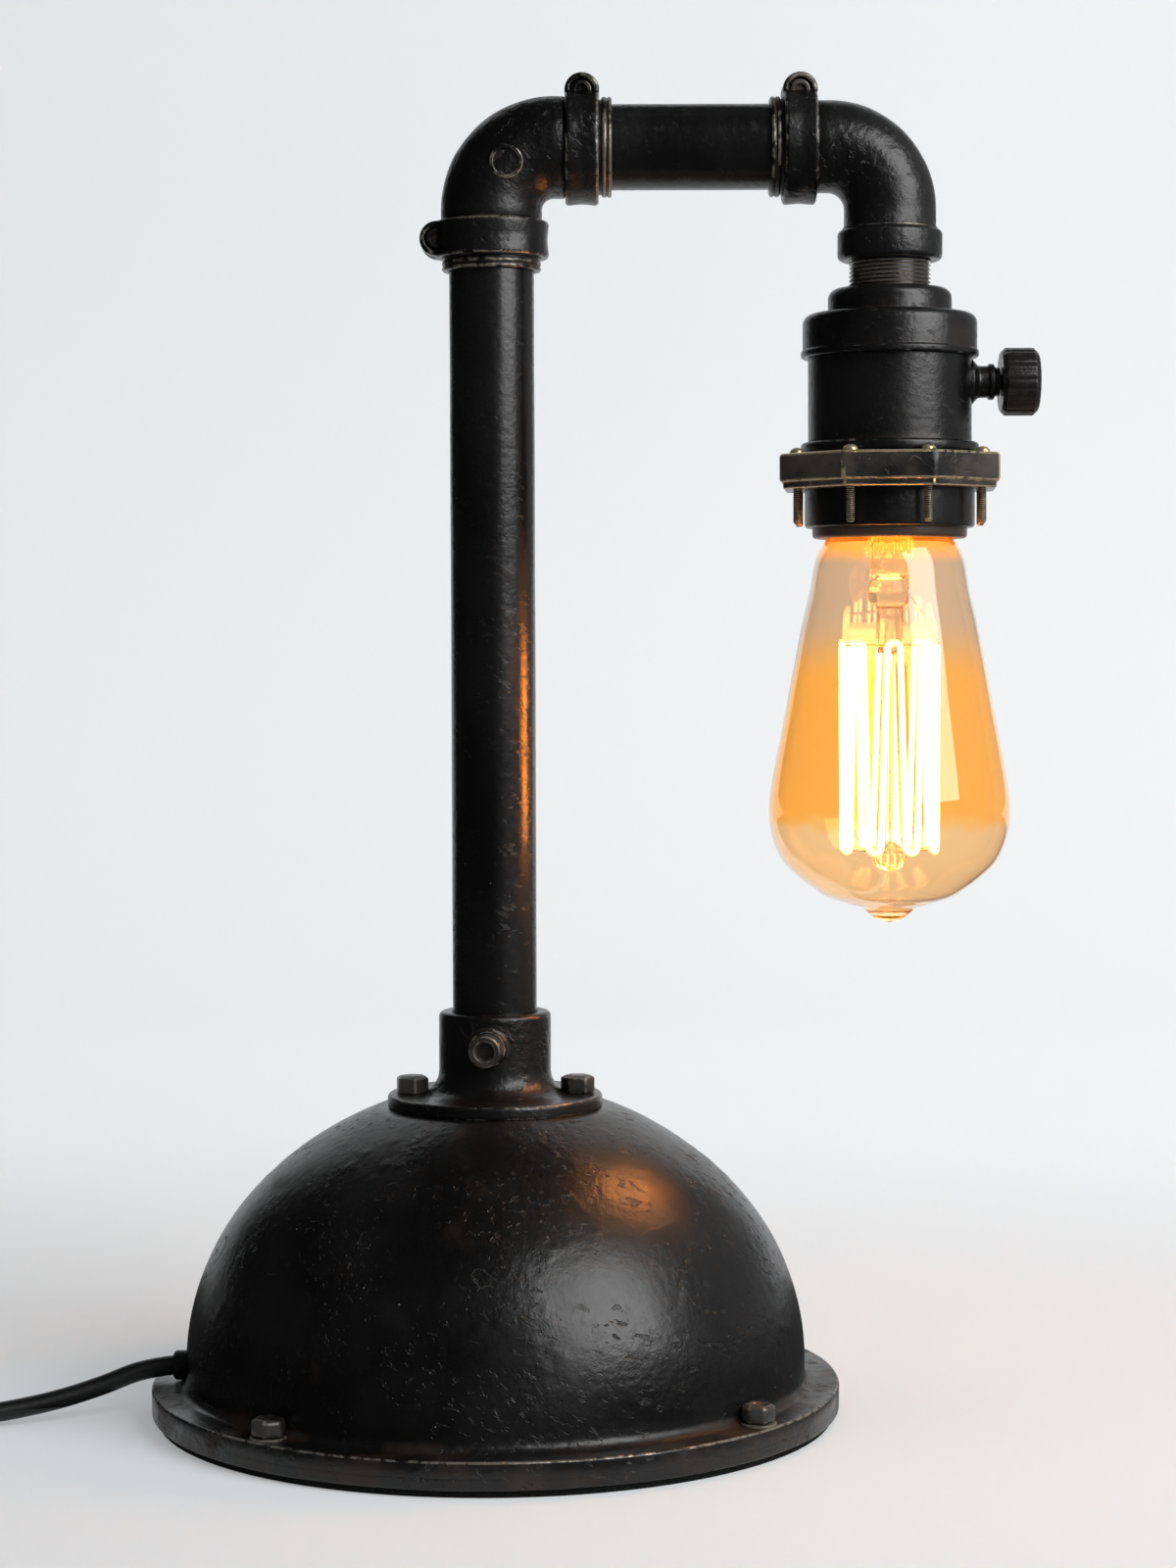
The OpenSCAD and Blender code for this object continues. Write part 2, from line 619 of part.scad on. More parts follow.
// Lead inside the base and up the post, as far as the clamp of the post elbow
module post_lead() {
    r = 30;
    color(BLACK) rotate([0, 0, 180 + cord_az]) union() {
        translate([r, 0, cord_z]) rotate([0, 90, 0]) cylinder(r = cord_r, h = dome_r + bush_nose - r);
        translate([r, 0, cord_z + r]) rotate([90, 0, 0])
            rotate_extrude(angle = 90, start = 180) translate([r, 0]) circle(r = cord_r);
        translate([0, 0, cord_z + r]) cylinder(r = cord_r, h = swing_z - cord_z - r);
    }
}

// Way of the coil: in on the lower layer, out again on the upper one
function eased(x, w) = x > w ? x : (x * x + w * w) / (2 * w);
function coil_at(t) = let (
    half = coil_span / 2,
    a = coil_az0 - 360 * t,
    r = coil_in_r + coil_pitch * (eased(abs(t - half), 0.25) - 0.125),
    k = min(max((t - half) * 2 + 0.5, 0), 1))
    [coil_c[0] + r * cos(a), coil_c[1] + r * sin(a), coil_z0 + (coil_z1 - coil_z0) * k * k * (3 - 2 * k)];
coil_steps = round(24 * coil_span);
coil_mid = [for (i = [0:coil_steps]) coil_at(coil_span * i / coil_steps)];
coil_t0 = unit(coil_mid[1] - coil_mid[0]);
coil_t1 = unit(coil_mid[coil_steps] - coil_mid[coil_steps - 1]);
coil_start = coil_mid[0] - cord_d * coil_t0;
coil_end = coil_mid[coil_steps] + cord_d * coil_t1;
coil_out_r = coil_in_r + coil_pitch * (coil_span / 2 - 0.125);

module cord_lead() {
    color(BLACK) tube(concat([cord_exit], [for (p = LEAD_POINTS) p + [-base_d / 2, 0, 0]], [coil_start]), cord_r, 10, cord_dir, coil_t0);
}
module cord_coil() {
    way = concat([coil_start], coil_mid, [coil_end]);
    gap = min([for (i = [0:len(way) - 19], j = [i + 18:len(way) - 1]) norm(way[i] - way[j])]) - cord_d;
    echo(coil_least_gap = gap);
    color(BLACK) tube(way, cord_r, 6, coil_t0, coil_t1);
}
module cord_tail() {
    color(BLACK) tube(concat([coil_end], [for (p = TAIL_POINTS) p + [coil_c[0], coil_c[1], 0]], [plug_nose]), cord_r, 10, coil_t1, [1, 0, 0]);
}
// Flat strip round all turns of the coil
module cord_tie() {
    in_r = coil_in_r + coil_pitch * (coil_turns % 2 == 1 ? 0.375 : 0) - cord_r - 0.4;
    out_r = coil_out_r - coil_pitch * (coil_az0 - coil_az1) / 720 + cord_r + 0.4;
    h = coil_z1 + cord_r + 0.3 - tie_t;
    color(BLACK) translate([coil_c[0], coil_c[1], 0]) rotate([0, 0, (coil_az0 + coil_az1) / 2]) translate([0, tie_w / 2, 0])
        rotate([90, 0, 0]) linear_extrude(tie_w) difference() {
            translate([in_r - tie_t, 0]) square([out_r - in_r + 2 * tie_t, h + 2 * tie_t]);
            translate([in_r, tie_t]) square([out_r - in_r, h]);
        }
}

// Flat plug: a ribbed nose on the cord, a body drawn in towards it, two blades
module plug_body() {
    x0 = plug_nose_l;
    color(BLACK) translate(plug_nose) union() {
        rotate([0, 90, 0]) rotate_extrude() polygon(concat(
            [[0, 0], [cord_r + 1.2, 0]],
            [for (i = [0:3]) each [[cord_r + 1.6 + 0.3 * i, 1 + 3.4 * i], [cord_r + 1.6 + 0.3 * i, 3.4 + 3.4 * i],
                                   [cord_r + 0.9 + 0.3 * i, 3.4 + 3.4 * i], [cord_r + 0.9 + 0.3 * i, 4.4 + 3.4 * i]]],
            [[cord_r + 2.6, plug_nose_l + 1], [0, plug_nose_l + 1]]));
        intersection() {
            translate([0, 0, -plug_t / 2]) linear_extrude(plug_t) polygon(concat(
                arc([x0 + 3, -plug_w / 2 + 6], 3, 180, 270, 4),
                arc([x0 + plug_l - 2, -plug_w / 2 + 2], 2, 270, 360, 4),
                arc([x0 + plug_l - 2, plug_w / 2 - 2], 2, 0, 90, 4),
                arc([x0 + 3, plug_w / 2 - 6], 3, 90, 180, 4)));
            translate([0, plug_w, 0]) rotate([90, 0, 0]) linear_extrude(2 * plug_w) polygon(concat(
                arc([x0 + 2, -plug_t / 2 + 2], 2, 180, 270, 4),
                arc([x0 + plug_l - 1, -plug_t / 2 + 1], 1, 270, 360, 3),
                arc([x0 + plug_l - 1, plug_t / 2 - 1], 1, 0, 90, 3),
                arc([x0 + 2, plug_t / 2 - 2], 2, 90, 180, 4)));
        }
    }
}
module plug_blades() {
    color(BRASS) translate(plug_nose + [plug_nose_l + plug_l, 0, 0]) for (s = [-1, 1])
        translate([0, s * 6.35 - 0.75, -3.15]) cube([blade_l, 1.5, 6.3]);
}

module post_elbow() {
    a = 140;
    color(IRON) difference() {
        union() {
            bend([bend_r, 0, bend_z], post_bend_r, bore_r, 90);
            translate([0, 0, bend_z]) rotate([180, 0, 0]) socket_leg(post_bend_r, post_clamp_w);
            translate([bend_r, 0, arm_z]) rotate([0, 90, 0]) socket_leg(post_bend_r, arm_clamp_w);
            translate([bend_r * (1 + cos(a)), 0, bend_z + bend_r * sin(a)]) rotate([90, 0, 0])
                translate([0, 0, post_bend_r - 1.4]) difference() {
                    cylinder(r = mark_r, h = 1.9);
                    translate([0, 0, 1.5]) cylinder(r = mark_r - 1, h = 1);
                }
        }
        translate([0, 0, bend_z]) rotate([180, 0, 0]) socket_slit(post_clamp_w);
        translate([bend_r, 0, arm_z]) rotate([0, 90, 0]) socket_slit(arm_clamp_w);
    }
}
module post_clamp() { color(IRON) at_post_clamp() clamp_ring(post_clamp_w); }
module arm_clamp() { color(IRON) at_arm_clamp() clamp_ring(arm_clamp_w); }
module elbow_screws() {
    color(STEEL) { at_post_clamp() clamp_screw(); at_arm_clamp() clamp_screw(); }
}
module arm_lead() {
    color(BLACK) union() {
        translate([0, 0, swing_z + end_gap]) cylinder(r = cord_r, h = bend_z - swing_z - end_gap);
        bend_lead([bend_r, 0, bend_z], 90);
        translate([bend_r, 0, arm_z]) rotate([0, 90, 0]) cylinder(r = cord_r, h = tilt_x - bend_r);
    }
}
module bend_lead(c, turn) {
    translate(c) rotate([90, 0, 0]) rotate_extrude(angle = 90, start = turn) translate([bend_r, 0]) circle(r = cord_r);
}
module arm_pipe() {
    color(IRON) translate([arm_x0, 0, arm_z]) rotate([0, 90, 0]) difference() {
        cylinder(d = pipe_d, h = arm_x1 - arm_x0);
        translate([0, 0, -1]) cylinder(r = bore_r, h = arm_x1 - arm_x0 + 2);
    }
}

// The nipple screws into the elbow's bead from below
nipple_top = elbow_end + bead_h + 1;
module head_elbow() {
    l = bead_neck + bead_h;
    out = head_bend_r + bead_out;
    seat = bend_z - nipple_top - end_gap;
    color(IRON) difference() {
        union() {
            bend([reach - bend_r, 0, bend_z], head_bend_r, bore_r, 0);
            translate([reach - bend_r, 0, arm_z]) rotate([0, -90, 0]) socket_leg(head_bend_r, arm_clamp_w);
            at_head(bend_z) rotate([180, 0, 0]) rotate_extrude() polygon(concat(
                [[bore_r, 0], [bore_r, seat], [nipple_r + seat_gap, seat], [nipple_r + seat_gap, l]],
                arc([out - 1.6, l - 1.6], 1.6, 90, 0, 4),
                arc([out - 1.6, bead_neck + 1.6], 1.6, 0, -90, 4),
                [[head_bend_r, bead_neck], [head_bend_r, 0]]));
        }
        translate([reach - bend_r, 0, arm_z]) rotate([0, -90, 0]) mirror([1, 0, 0]) socket_slit(arm_clamp_w);
    }
}
module head_clamp() { color(IRON) at_head_clamp() clamp_ring(arm_clamp_w); }
module head_screw() { color(STEEL) at_head_clamp() clamp_screw(); }
module head_lead() {
    color(BLACK) union() {
        translate([tilt_x + end_gap, 0, arm_z]) rotate([0, 90, 0])
            cylinder(r = cord_r, h = reach - bend_r - tilt_x - end_gap);
        bend_lead([reach - bend_r, 0, bend_z], 0);
        at_head(core_top) cylinder(r = cord_r, h = bend_z - core_top);
    }
}
nipple_foot = cap_step - cap_wall;
module nipple() {
    color(IRON) at_head(nipple_foot) difference() {
        cylinder(r = nipple_r, h = nipple_top - nipple_foot);
        translate([0, 0, -1]) cylinder(r = min(bore_r, nipple_r - 1.6), h = nipple_top - nipple_foot + 2);
    }
}

module socket_cap() {
    n = cap_neck_d / 2;
    color(IRON) at_head() rotate_extrude() polygon(concat(
        [[nipple_r + seat_gap, cap_step - cap_wall], [nipple_r + seat_gap, cap_top]],
        arc([n - 3, cap_top - 3], 3, 90, 0, 6),
        [[n, cap_step + 0.9], [n + 0.9, cap_step]],
        arc([cap_r - 2.6, cap_step - 2.6], 2.6, 90, 0, 6),
        [[cap_r, cap_end + 2], [cap_r + 0.35, cap_end + 1.6], [cap_r + 0.35, cap_end],
         [shell_r + seat_gap, cap_end], [shell_r + seat_gap, cap_step - cap_wall]]));
}
module socket_shell() {
    b = shell_r + shell_bead_out;
    e = shell_bead_h / 2;
    color(IRON) difference() {
        at_head() rotate_extrude() polygon(concat(
            [[shell_r - shell_wall, shell_top], [shell_r, shell_top], [shell_r, bead_top]],
            arc([b - e * 0.8, bead_top - e], e, 80, -80, 8),
            [[b - e, ring_top], [thread_r, ring_top], [thread_r, skirt_end], [thread_in_r, skirt_end],
             [thread_in_r, ledge_z], [shell_r - shell_wall, ledge_z]]));
        at_switch() cylinder(r = bush_r + seat_gap, h = shell_d);
    }
}
module eight_ring() {
    color(IRON) at_head() difference() {
        union() {
            translate([0, 0, ring_foot]) rotate([0, 0, 22.5 - ring_az])
                cylinder(d = ring_af / cos(22.5), h = ring_h, $fn = 8);
            translate([0, 0, ring_end]) rotate([0, 0, 22.5 - ring_az])
                cylinder(d = (ring_af - 1.8) / cos(22.5), h = ring_lip_h, $fn = 8);
        }
        translate([0, 0, ring_end - 1]) cylinder(r = thread_r + seat_gap, h = ring_h + ring_lip_h + 2);
        at_ring_screws() translate([0, 0, ring_end - 1])
            cylinder(d = ring_screw_d + 2 * seat_gap, h = ring_h + ring_lip_h + 2);
    }
}
module ring_screws() {
    h = ring_screw_head_d * 0.4;
    color(STEEL) at_head() at_ring_screws() union() {
        translate([0, 0, skirt_end]) cylinder(d = ring_screw_d, h = ring_top - skirt_end);
        translate([0, 0, ring_top]) rotate_extrude() polygon(concat(
            [[0, 0], [ring_screw_head_d / 2, 0]],
            arc([ring_screw_head_d / 2 - h * 0.8, h * 0.2], h * 0.8, 0, 90, 4), [[0, h]]));
    }
}
module ring_skirt() {
    color(IRON) at_head() rotate_extrude() polygon(concat(
        [[thread_r + seat_gap, ring_end], [thread_r + seat_gap, skirt_end]],
        arc([skirt_r - 0.8, skirt_end + 0.8], 0.8, 270, 360, 3),
        [[skirt_r, ring_end]]));
}
module mouth_collar() {
    color(BLACK) at_head() rotate_extrude() polygon(concat(
        [[collar_in_r, core_foot], [thread_in_r - seat_gap, core_foot], [thread_in_r - seat_gap, skirt_end],
         [thread_r, skirt_end]],
        arc([thread_r - 1, collar_end + 1], 1, 0, -90, 3),
        [[collar_in_r, collar_end]]));
}
module socket_core() {
    color([0.28, 0.17, 0.10]) difference() {
        at_head() rotate_extrude() polygon([
            [0, ceiling_z], [cap_bore_r + screw_shell_t + seat_gap, ceiling_z],
            [cap_bore_r + screw_shell_t + seat_gap, core_foot], [core_r, core_foot],
            [core_r, core_top - core_flange], [sleeve_out_r, core_top - core_flange],
            [sleeve_out_r, core_top], [0, core_top]]);
        at_switch() {
            translate([0, 0, 3]) cylinder(r = spindle_d / 2 + spindle_gap, h = shell_d);
            translate([0, 0, 5.5]) cylinder(r = cam_r + 0.3, h = 6);
        }
    }
}
module insulating_sleeve() {
    h = core_top - core_flange - ledge_z;
    color([0.55, 0.45, 0.32]) difference() {
        at_head(ledge_z) difference() {
            cylinder(r = sleeve_out_r, h = h);
            translate([0, 0, -1]) cylinder(r = sleeve_in_r, h = h + 2);
        }
        at_switch() cylinder(r = bush_r + 0.3, h = shell_d);
    }
}

// Radius of the rolled thread at height z over the rim of the bulb's cap
function thread_at(z) = cap_thread_d / 2 - 0.45 - 0.45 * cos(360 * z / cap_pitch);
thread_h = 5 * cap_pitch;
module bulb_cap() {
    z1 = 2.4 + thread_h;
    outer = concat([[13.1, 0], [12.6, 1.2], [cap_thread_d / 2 - 0.9, 2.4]],
        [for (i = [1:30]) [thread_at(thread_h * i / 30), 2.4 + thread_h * i / 30]]);
    color(BRASS) at_head(cap_rim) rotate_extrude() polygon(concat(outer,
        [[8, z1 + 1.2], [8, z1 + 0.7], [11.4, z1 - 0.6], [11.4, 2.8], [12.62, 0.8], [12.7, 0]]));
}
module bulb_insulator() {
    z1 = 2.4 + thread_h;
    color(BLACK) at_head(cap_rim) rotate_extrude() polygon([
        [0, z1 - 0.6], [7.9, z1 - 0.6], [7.9, z1 + 1.25], [5, bulb_cap_h - 1.4], [0, bulb_cap_h - 1.4]]);
}
module bulb_contact() {
    color(STEEL) at_head(cap_rim) rotate_extrude() polygon([
        [0, bulb_cap_h - 1.4], [4.6, bulb_cap_h - 1.4], [4.2, bulb_cap_h - 0.4], [3, bulb_cap_h], [0, bulb_cap_h]]);
}
module screw_shell() {
    z0 = 3.6;
    n = 28;
    h = ceiling_z - cap_rim;
    inner = [for (i = [0:n]) let (z = z0 + (thread_h - 1.2) * i / n) [thread_at(z - 2.4) + 0.15, z]];
    color(BRASS) at_head(cap_rim) rotate_extrude() polygon(concat(inner,
        [[cap_bore_r, z0 + thread_h], [cap_bore_r, h], [cap_bore_r + screw_shell_t, h], [cap_bore_r + screw_shell_t, z0]]));
}
module centre_contact() {
    color(BRASS) at_head(contact_z) cylinder(r = 4, h = leaf_t);
}

// Outline of the glass from its neck in the cap down to its tip, as [radius, depth under the rim]
function glass_points() = let (n = bulb_neck_d / 2, r = bulb_d / 2, d = r - n, l = glass_l) [
    [glass_neck_r, -glass_rise], [glass_neck_r + 0.1, 0.6], [glass_neck_r + 1.2, 3], [n, 9.6],
    [n + 0.13 * d, 0.115 * l], [n + 0.22 * d, 0.15 * l], [n + 0.30 * d, 0.214 * l], [n + 0.45 * d, 0.303 * l],
    [n + 0.71 * d, 0.49 * l], [n + 0.945 * d, 0.66 * l], [r, 0.735 * l], [0.963 * r, 0.804 * l],
    [0.846 * r, 0.866 * l], [0.58 * r, 0.927 * l], [0.4 * r, 0.9485 * l], [0.24 * r, 0.963 * l],
    [0.18 * r, 0.975 * l], [0.12 * r, 0.989 * l], [0.001, l]
];
module bulb_glass() {
    outer = [for (p = through(glass_points(), 3)) [max(p[0], 0), -p[1]]];
    inner = inset(outer, glass_wall);
    last = len(outer) - 1;
    color(GLASS) at_head(cap_rim) rotate_extrude() polygon(concat(
        [for (i = [0:last - 1]) outer[i]], [[0, -glass_l], [0, -0.975 * glass_l]],
        [for (i = [last - 6:-1:0]) [inner[i][0], i == 0 ? outer[0][1] : inner[i][1]]]));
}
// Flared tube, pinched foot and rod that carry the filament
module bulb_stem() {
    a = glass_l * 0.2;
    b = cap_rim - cage_top;
    c = cap_rim - cage_foot;
    t = stem_tube_r;
    f = glass_neck_r - 0.1;
    color([0.85, 0.88, 0.9]) at_head(cap_rim) rotate_extrude() polygon(concat(
        [[0, glass_rise + 0.14 * t], [f, glass_rise + 0.14 * t], [f, glass_rise],
         [f - glass_wall - 0.1 * t, glass_rise], [1.25 * t, -0.27 * t], [1.04 * t, -1.07 * t], [t, -a]],
        arc([0.75 * t, -a - 0.46 * t], 0.34 * t, 40, -60, 5),
        [[0.61 * t, -a - t], [0.64 * t, -b + 0.36 * t], [0.57 * t, -b - 0.36 * t], [0.21 * t, -b - 0.61 * t],
         [0.21 * t, -c + 0.27 * t]],
        arc([0.29 * t, -c - 0.18 * t], 0.36 * t, 70, -70, 5),
        [[0.43 * t, -c - 1.07 * t], [0, -c - 1.18 * t]]));
}
// Wire of the cage: down and up between lower and upper hooks, once round
function cage_at(a, z) = [cage_r * cos(a), cage_r * sin(a), z];
function cage_turn(a, z, s) = let (w = turn_r / cage_r * 180 / PI)
    [for (k = [0:5]) let (b = 180 * k / 5) cage_at(a - w * cos(b), z + s * turn_r * sin(b))];
cage_step = 360 / cage_hooks;
cage_end_a = turn_r / cage_r * 180 / PI;
module bulb_filament() {
    way = concat(
        [cage_at(cage_end_a, cage_top + turn_r)],
        [for (i = [0:cage_hooks - 1]) each concat(
            cage_turn(cage_step * (i + 0.5), cage_foot, -1),
            i < cage_hooks - 1 ? cage_turn(cage_step * (i + 1), cage_top, 1) : [])],
        [cage_at(-cage_end_a, cage_top + turn_r)]);
    color(GLOW) at_head() tube(way, wire_d / 2, 6, unit(way[1] - way[0]),
        unit(way[len(way) - 1] - way[len(way) - 2]), [1, 0, 0]);
}
module filament_hooks() {
    color(STEEL) at_head() {
        for (i = [1:cage_hooks - 1]) rotate([0, 0, cage_step * i])
            rod([0.605 * stem_tube_r + 0.06, 0, cage_top], [cage_r + 0.9, 0, cage_top], hook_r);
        for (i = [0:cage_hooks - 1]) rotate([0, 0, cage_step * (i + 0.5)])
            rod([0.65 * stem_tube_r + 0.06, 0, cage_foot - 0.18 * stem_tube_r], [cage_r + 0.9, 0, cage_foot], hook_r);
    }
}
// Two wires from the stem's pinch to the ends of the filament
module bulb_leads() {
    color(STEEL) at_head() for (s = [-1, 1]) {
        q = cage_at(s * cage_end_a, cage_top + turn_r + 0.1 + hook_r);
        rod([1.09 * stem_tube_r + 0.1, s * 0.6, cap_rim - glass_l * 0.2 - 0.46 * stem_tube_r], q, hook_r);
    }
}

module switch_stem() {
    r = stem_d / 2;
    color(IRON) at_switch() difference() {
        union() {
            difference() {
                rotate_extrude() polygon(concat(
                    [[0, shell_r - 2], [r + 1.6, shell_r - 2], [r + 1.6, shell_r + 0.3]],
                    arc([r + 1.6, shell_r + 2], 1.6, 270, 180, 4),
                    [[r, stem_end - 2.6], [r + 0.5, stem_end - 2.2], [r + 0.5, stem_end - 1], [r - 0.4, stem_end - 0.6],
                     [r - 0.4, stem_end], [0, stem_end]]));
                rotate([0, -90, 0]) cylinder(r = shell_r + seat_gap, h = shell_d, center = true);
            }
            translate([0, 0, bush_in]) cylinder(r = bush_r, h = stem_end - bush_in);
        }
        cylinder(r = spindle_d / 2 + spindle_gap, h = stem_end + 1);
    }
}
// Knob with flutes round its rim and a crowned end
module switch_knob() {
    n = 4 * knob_flutes;
    k = knob_d / 2;
    color(IRON) at_switch() difference() {
        intersection() {
            translate([0, 0, knob_s]) linear_extrude(knob_l) polygon([for (i = [0:n - 1])
                let (a = 360 * i / n, r = k - 0.45 * (i % 4 == 0 ? 1 : i % 4 == 2 ? 0 : 0.35)) [r * cos(a), r * sin(a)]]);
            rotate_extrude() polygon(concat(
                [[0, knob_s], [k - 1.2, knob_s], [k + 0.2, knob_s + 1.2]],
                arc([k - 2.2, knob_s + knob_l - 2.8], 2.4, 0, 75, 6),
                [[0, knob_s + knob_l]]));
        }
        translate([0, 0, knob_s - 1]) cylinder(r = spindle_d / 2 + 0.03, h = knob_l - 2);
    }
}
module switch_spindle() {
    color(STEEL) at_switch() translate([0, 0, 3.2]) cylinder(d = spindle_d, h = knob_s + knob_l - 3.1 - 3.2);
}
module switch_cam() {
    color(BLACK) at_switch() translate([0, 0, 6]) difference() {
        intersection() {
            cylinder(r = cam_r, h = cam_h);
            cube([spindle_d + 1.4, 2 * cam_r, 3 * cam_h], center = true);
        }
        translate([0, 0, -1]) cylinder(r = spindle_d / 2 + 0.03, h = cam_h + 2);
    }
}

foot_pad();
base_plate();
base_dome();
base_bolts();
base_washers();
floor_flange();
flange_bolts();
flange_nuts();
post_pipe();
post_screw();
cord_bushing();
post_lead();
cord_lead();
cord_coil();
cord_tail();
cord_tie();
plug_body();
plug_blades();
post_elbow();
post_clamp();
arm_clamp();
elbow_screws();
arm_lead();
arm_pipe();
head_elbow();
head_clamp();
head_screw();
head_lead();
nipple();
socket_cap();
socket_shell();
eight_ring();
ring_screws();
ring_skirt();
mouth_collar();
socket_core();
insulating_sleeve();
screw_shell();
centre_contact();
switch_stem();
switch_knob();
switch_spindle();
switch_cam();
bulb_glass();
bulb_cap();
bulb_insulator();
bulb_contact();
bulb_stem();
bulb_filament();
filament_hooks();
bulb_leads();
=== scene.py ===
"""Dresses a table lamp of blackened pipe on its frame: castings, lamp holder, glowing bulb and cord."""

import json
import math

import bmesh
import bpy
from bmesh.types import BMEdge, BMVert
from bpy.props import FloatProperty, FloatVectorProperty, IntProperty, PointerProperty
from mathutils import Matrix, Vector, noise


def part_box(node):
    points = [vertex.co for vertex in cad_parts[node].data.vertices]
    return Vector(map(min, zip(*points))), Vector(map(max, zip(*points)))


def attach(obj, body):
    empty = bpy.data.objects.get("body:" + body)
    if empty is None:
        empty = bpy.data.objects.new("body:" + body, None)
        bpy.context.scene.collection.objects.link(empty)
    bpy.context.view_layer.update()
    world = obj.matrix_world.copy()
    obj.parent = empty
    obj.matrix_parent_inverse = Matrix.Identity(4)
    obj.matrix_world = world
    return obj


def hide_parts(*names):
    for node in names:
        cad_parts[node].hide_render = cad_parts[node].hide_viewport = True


bl_info = {
    "name": "Pipe Table Lamp",
    "version": (1, 0, 0),
    "blender": (4, 5, 0),
    "location": "View3D > Sidebar > Lamp",
    "description": "Builds the finished pieces of a pipe table lamp on its frame",
    "category": "Add Mesh",
}

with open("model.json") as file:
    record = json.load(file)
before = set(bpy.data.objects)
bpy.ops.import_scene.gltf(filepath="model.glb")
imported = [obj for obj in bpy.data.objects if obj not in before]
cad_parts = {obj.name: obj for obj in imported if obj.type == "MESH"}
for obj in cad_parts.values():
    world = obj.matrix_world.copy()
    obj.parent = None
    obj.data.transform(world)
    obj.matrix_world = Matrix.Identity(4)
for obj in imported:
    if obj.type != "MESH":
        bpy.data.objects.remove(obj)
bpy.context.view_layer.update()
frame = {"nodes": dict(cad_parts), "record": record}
MM = 0.001
FRONT = Vector((0, -1, 0))
UP = Vector((0, 0, 1))
RIGHT = Vector((1, 0, 0))


class Span:
    """Box of a CAD node: its low and high corner, its middle and its half widths."""

    def __init__(self, node):
        low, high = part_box(node)
        self.low = Vector(low)
        self.high = Vector(high)
        self.mid = (self.low + self.high) / 2
        self.half = (self.high - self.low) / 2


POST = Span("post_pipe")
ARM = Span("arm_pipe")
DOME = Span("base_dome")
PLATE = Span("base_plate")
PAD = Span("foot_pad")
FLANGE = Span("floor_flange")
HEAD_ELBOW = Span("head_elbow")
POST_CLAMP = Span("post_clamp")
ARM_CLAMP = Span("arm_clamp")
HEAD_CLAMP = Span("head_clamp")
NIPPLE = Span("nipple")
CAP = Span("socket_cap")
SHELL = Span("socket_shell")
RING = Span("eight_ring")
SKIRT = Span("ring_skirt")
COLLAR = Span("mouth_collar")
STEM = Span("switch_stem")
KNOB = Span("switch_knob")
GLASS = Span("bulb_glass")
CAGE = Span("bulb_filament")
PLUG = Span("plug_body")
BLADES = Span("plug_blades")
TIE = Span("cord_tie")
PIPE_R = POST.half.x
PIPE_BORE = PIPE_R - 2 * MM
ARM_Z = ARM.mid.z
HEAD_X = GLASS.mid.x
# Gap between pieces that stay together, and between a pipe and the elbow that turns on it
SEAT = 0.05 * MM
ROOM = 0.2 * MM


def length(name, description, default):
    """Length that a user may change, given in millimetres."""
    return FloatProperty(name=name, description=description, default=default * MM, min=0, unit="LENGTH",
                         precision=5)


def angle(name, description, default):
    """Angle that a user may change, given in degrees."""
    return FloatProperty(name=name, description=description, default=math.radians(default), subtype="ANGLE")


def amount(name, description, default, **kind):
    """Number that a user may change, with a unit or subtype where one fits."""
    return FloatProperty(name=name, description=description, default=default, **kind)


def count(name, description, default, low, high):
    """Whole number that a user may change."""
    return IntProperty(name=name, description=description, default=default, min=low, max=high)


def colour(name, description, default):
    """Colour that a user may change."""
    return FloatVectorProperty(name=name, description=description, default=default, size=3, min=0, max=1,
                               subtype="COLOR")


class LampBase(bpy.types.PropertyGroup):
    """Sizes of the base and its fasteners."""

    rim_top: length("Rim top", "Height of the flange's top face", 9.1)
    dome_r: length("Dome radius", "Radius of the dome where it leaves the flange", 82.3)
    shoulder_r: length("Shoulder", "Radius of the dome's shoulder", 66)
    crown_r: length("Crown", "Radius of the dome's crown", 88)
    spring_z: length("Spring", "Height where the shoulder begins", 14.5)
    wall: length("Wall", "Wall of the dome", 4)
    top_wall: length("Top wall", "Thickness of the dome under its flat", 6)
    lead_hole: length("Lead hole", "Radius of the hole in the dome's flat", 8.5)
    fillet: length("Fillet", "Fillet between dome and flange", 3)
    bolt_edge: length("Bolt edge", "Distance of the bolts from the flange's edge", 4.9)
    bolt_az: angle("Bolt turn", "Turn of the first bolt, to the right of the front", 51)
    hex_flats: length("Hexagon", "Width across the flats of the bolt heads", 8)
    hex_h: length("Head", "Height of the bolt heads", 4.6)
    washer_r: length("Washer", "Radius of the washers", 4.6)
    washer_h: length("Washer height", "Thickness of the washers", 0.9)
    hub_r: length("Hub", "Radius of the hub that holds the post", 14.9)
    hub_cove: length("Cove", "Radius of the cove at the hub's foot", 6.0)
    flange_h: length("Flange", "Thickness of the floor flange", 3.6)
    flange_bolt_x: length("Flange bolts", "Distance of the flange's bolts from the post", 22)
    screw_rise: length("Post screw", "Height of the post screw over the dome", 16.9)
    screw_az: angle("Screw turn", "Turn of the post screw, to the left of the front", 6)
    screw_head_r: length("Screw head", "Radius of the post screw's head", 4.25)
    screw_head_h: length("Screw height", "Height of the post screw's head", 5)


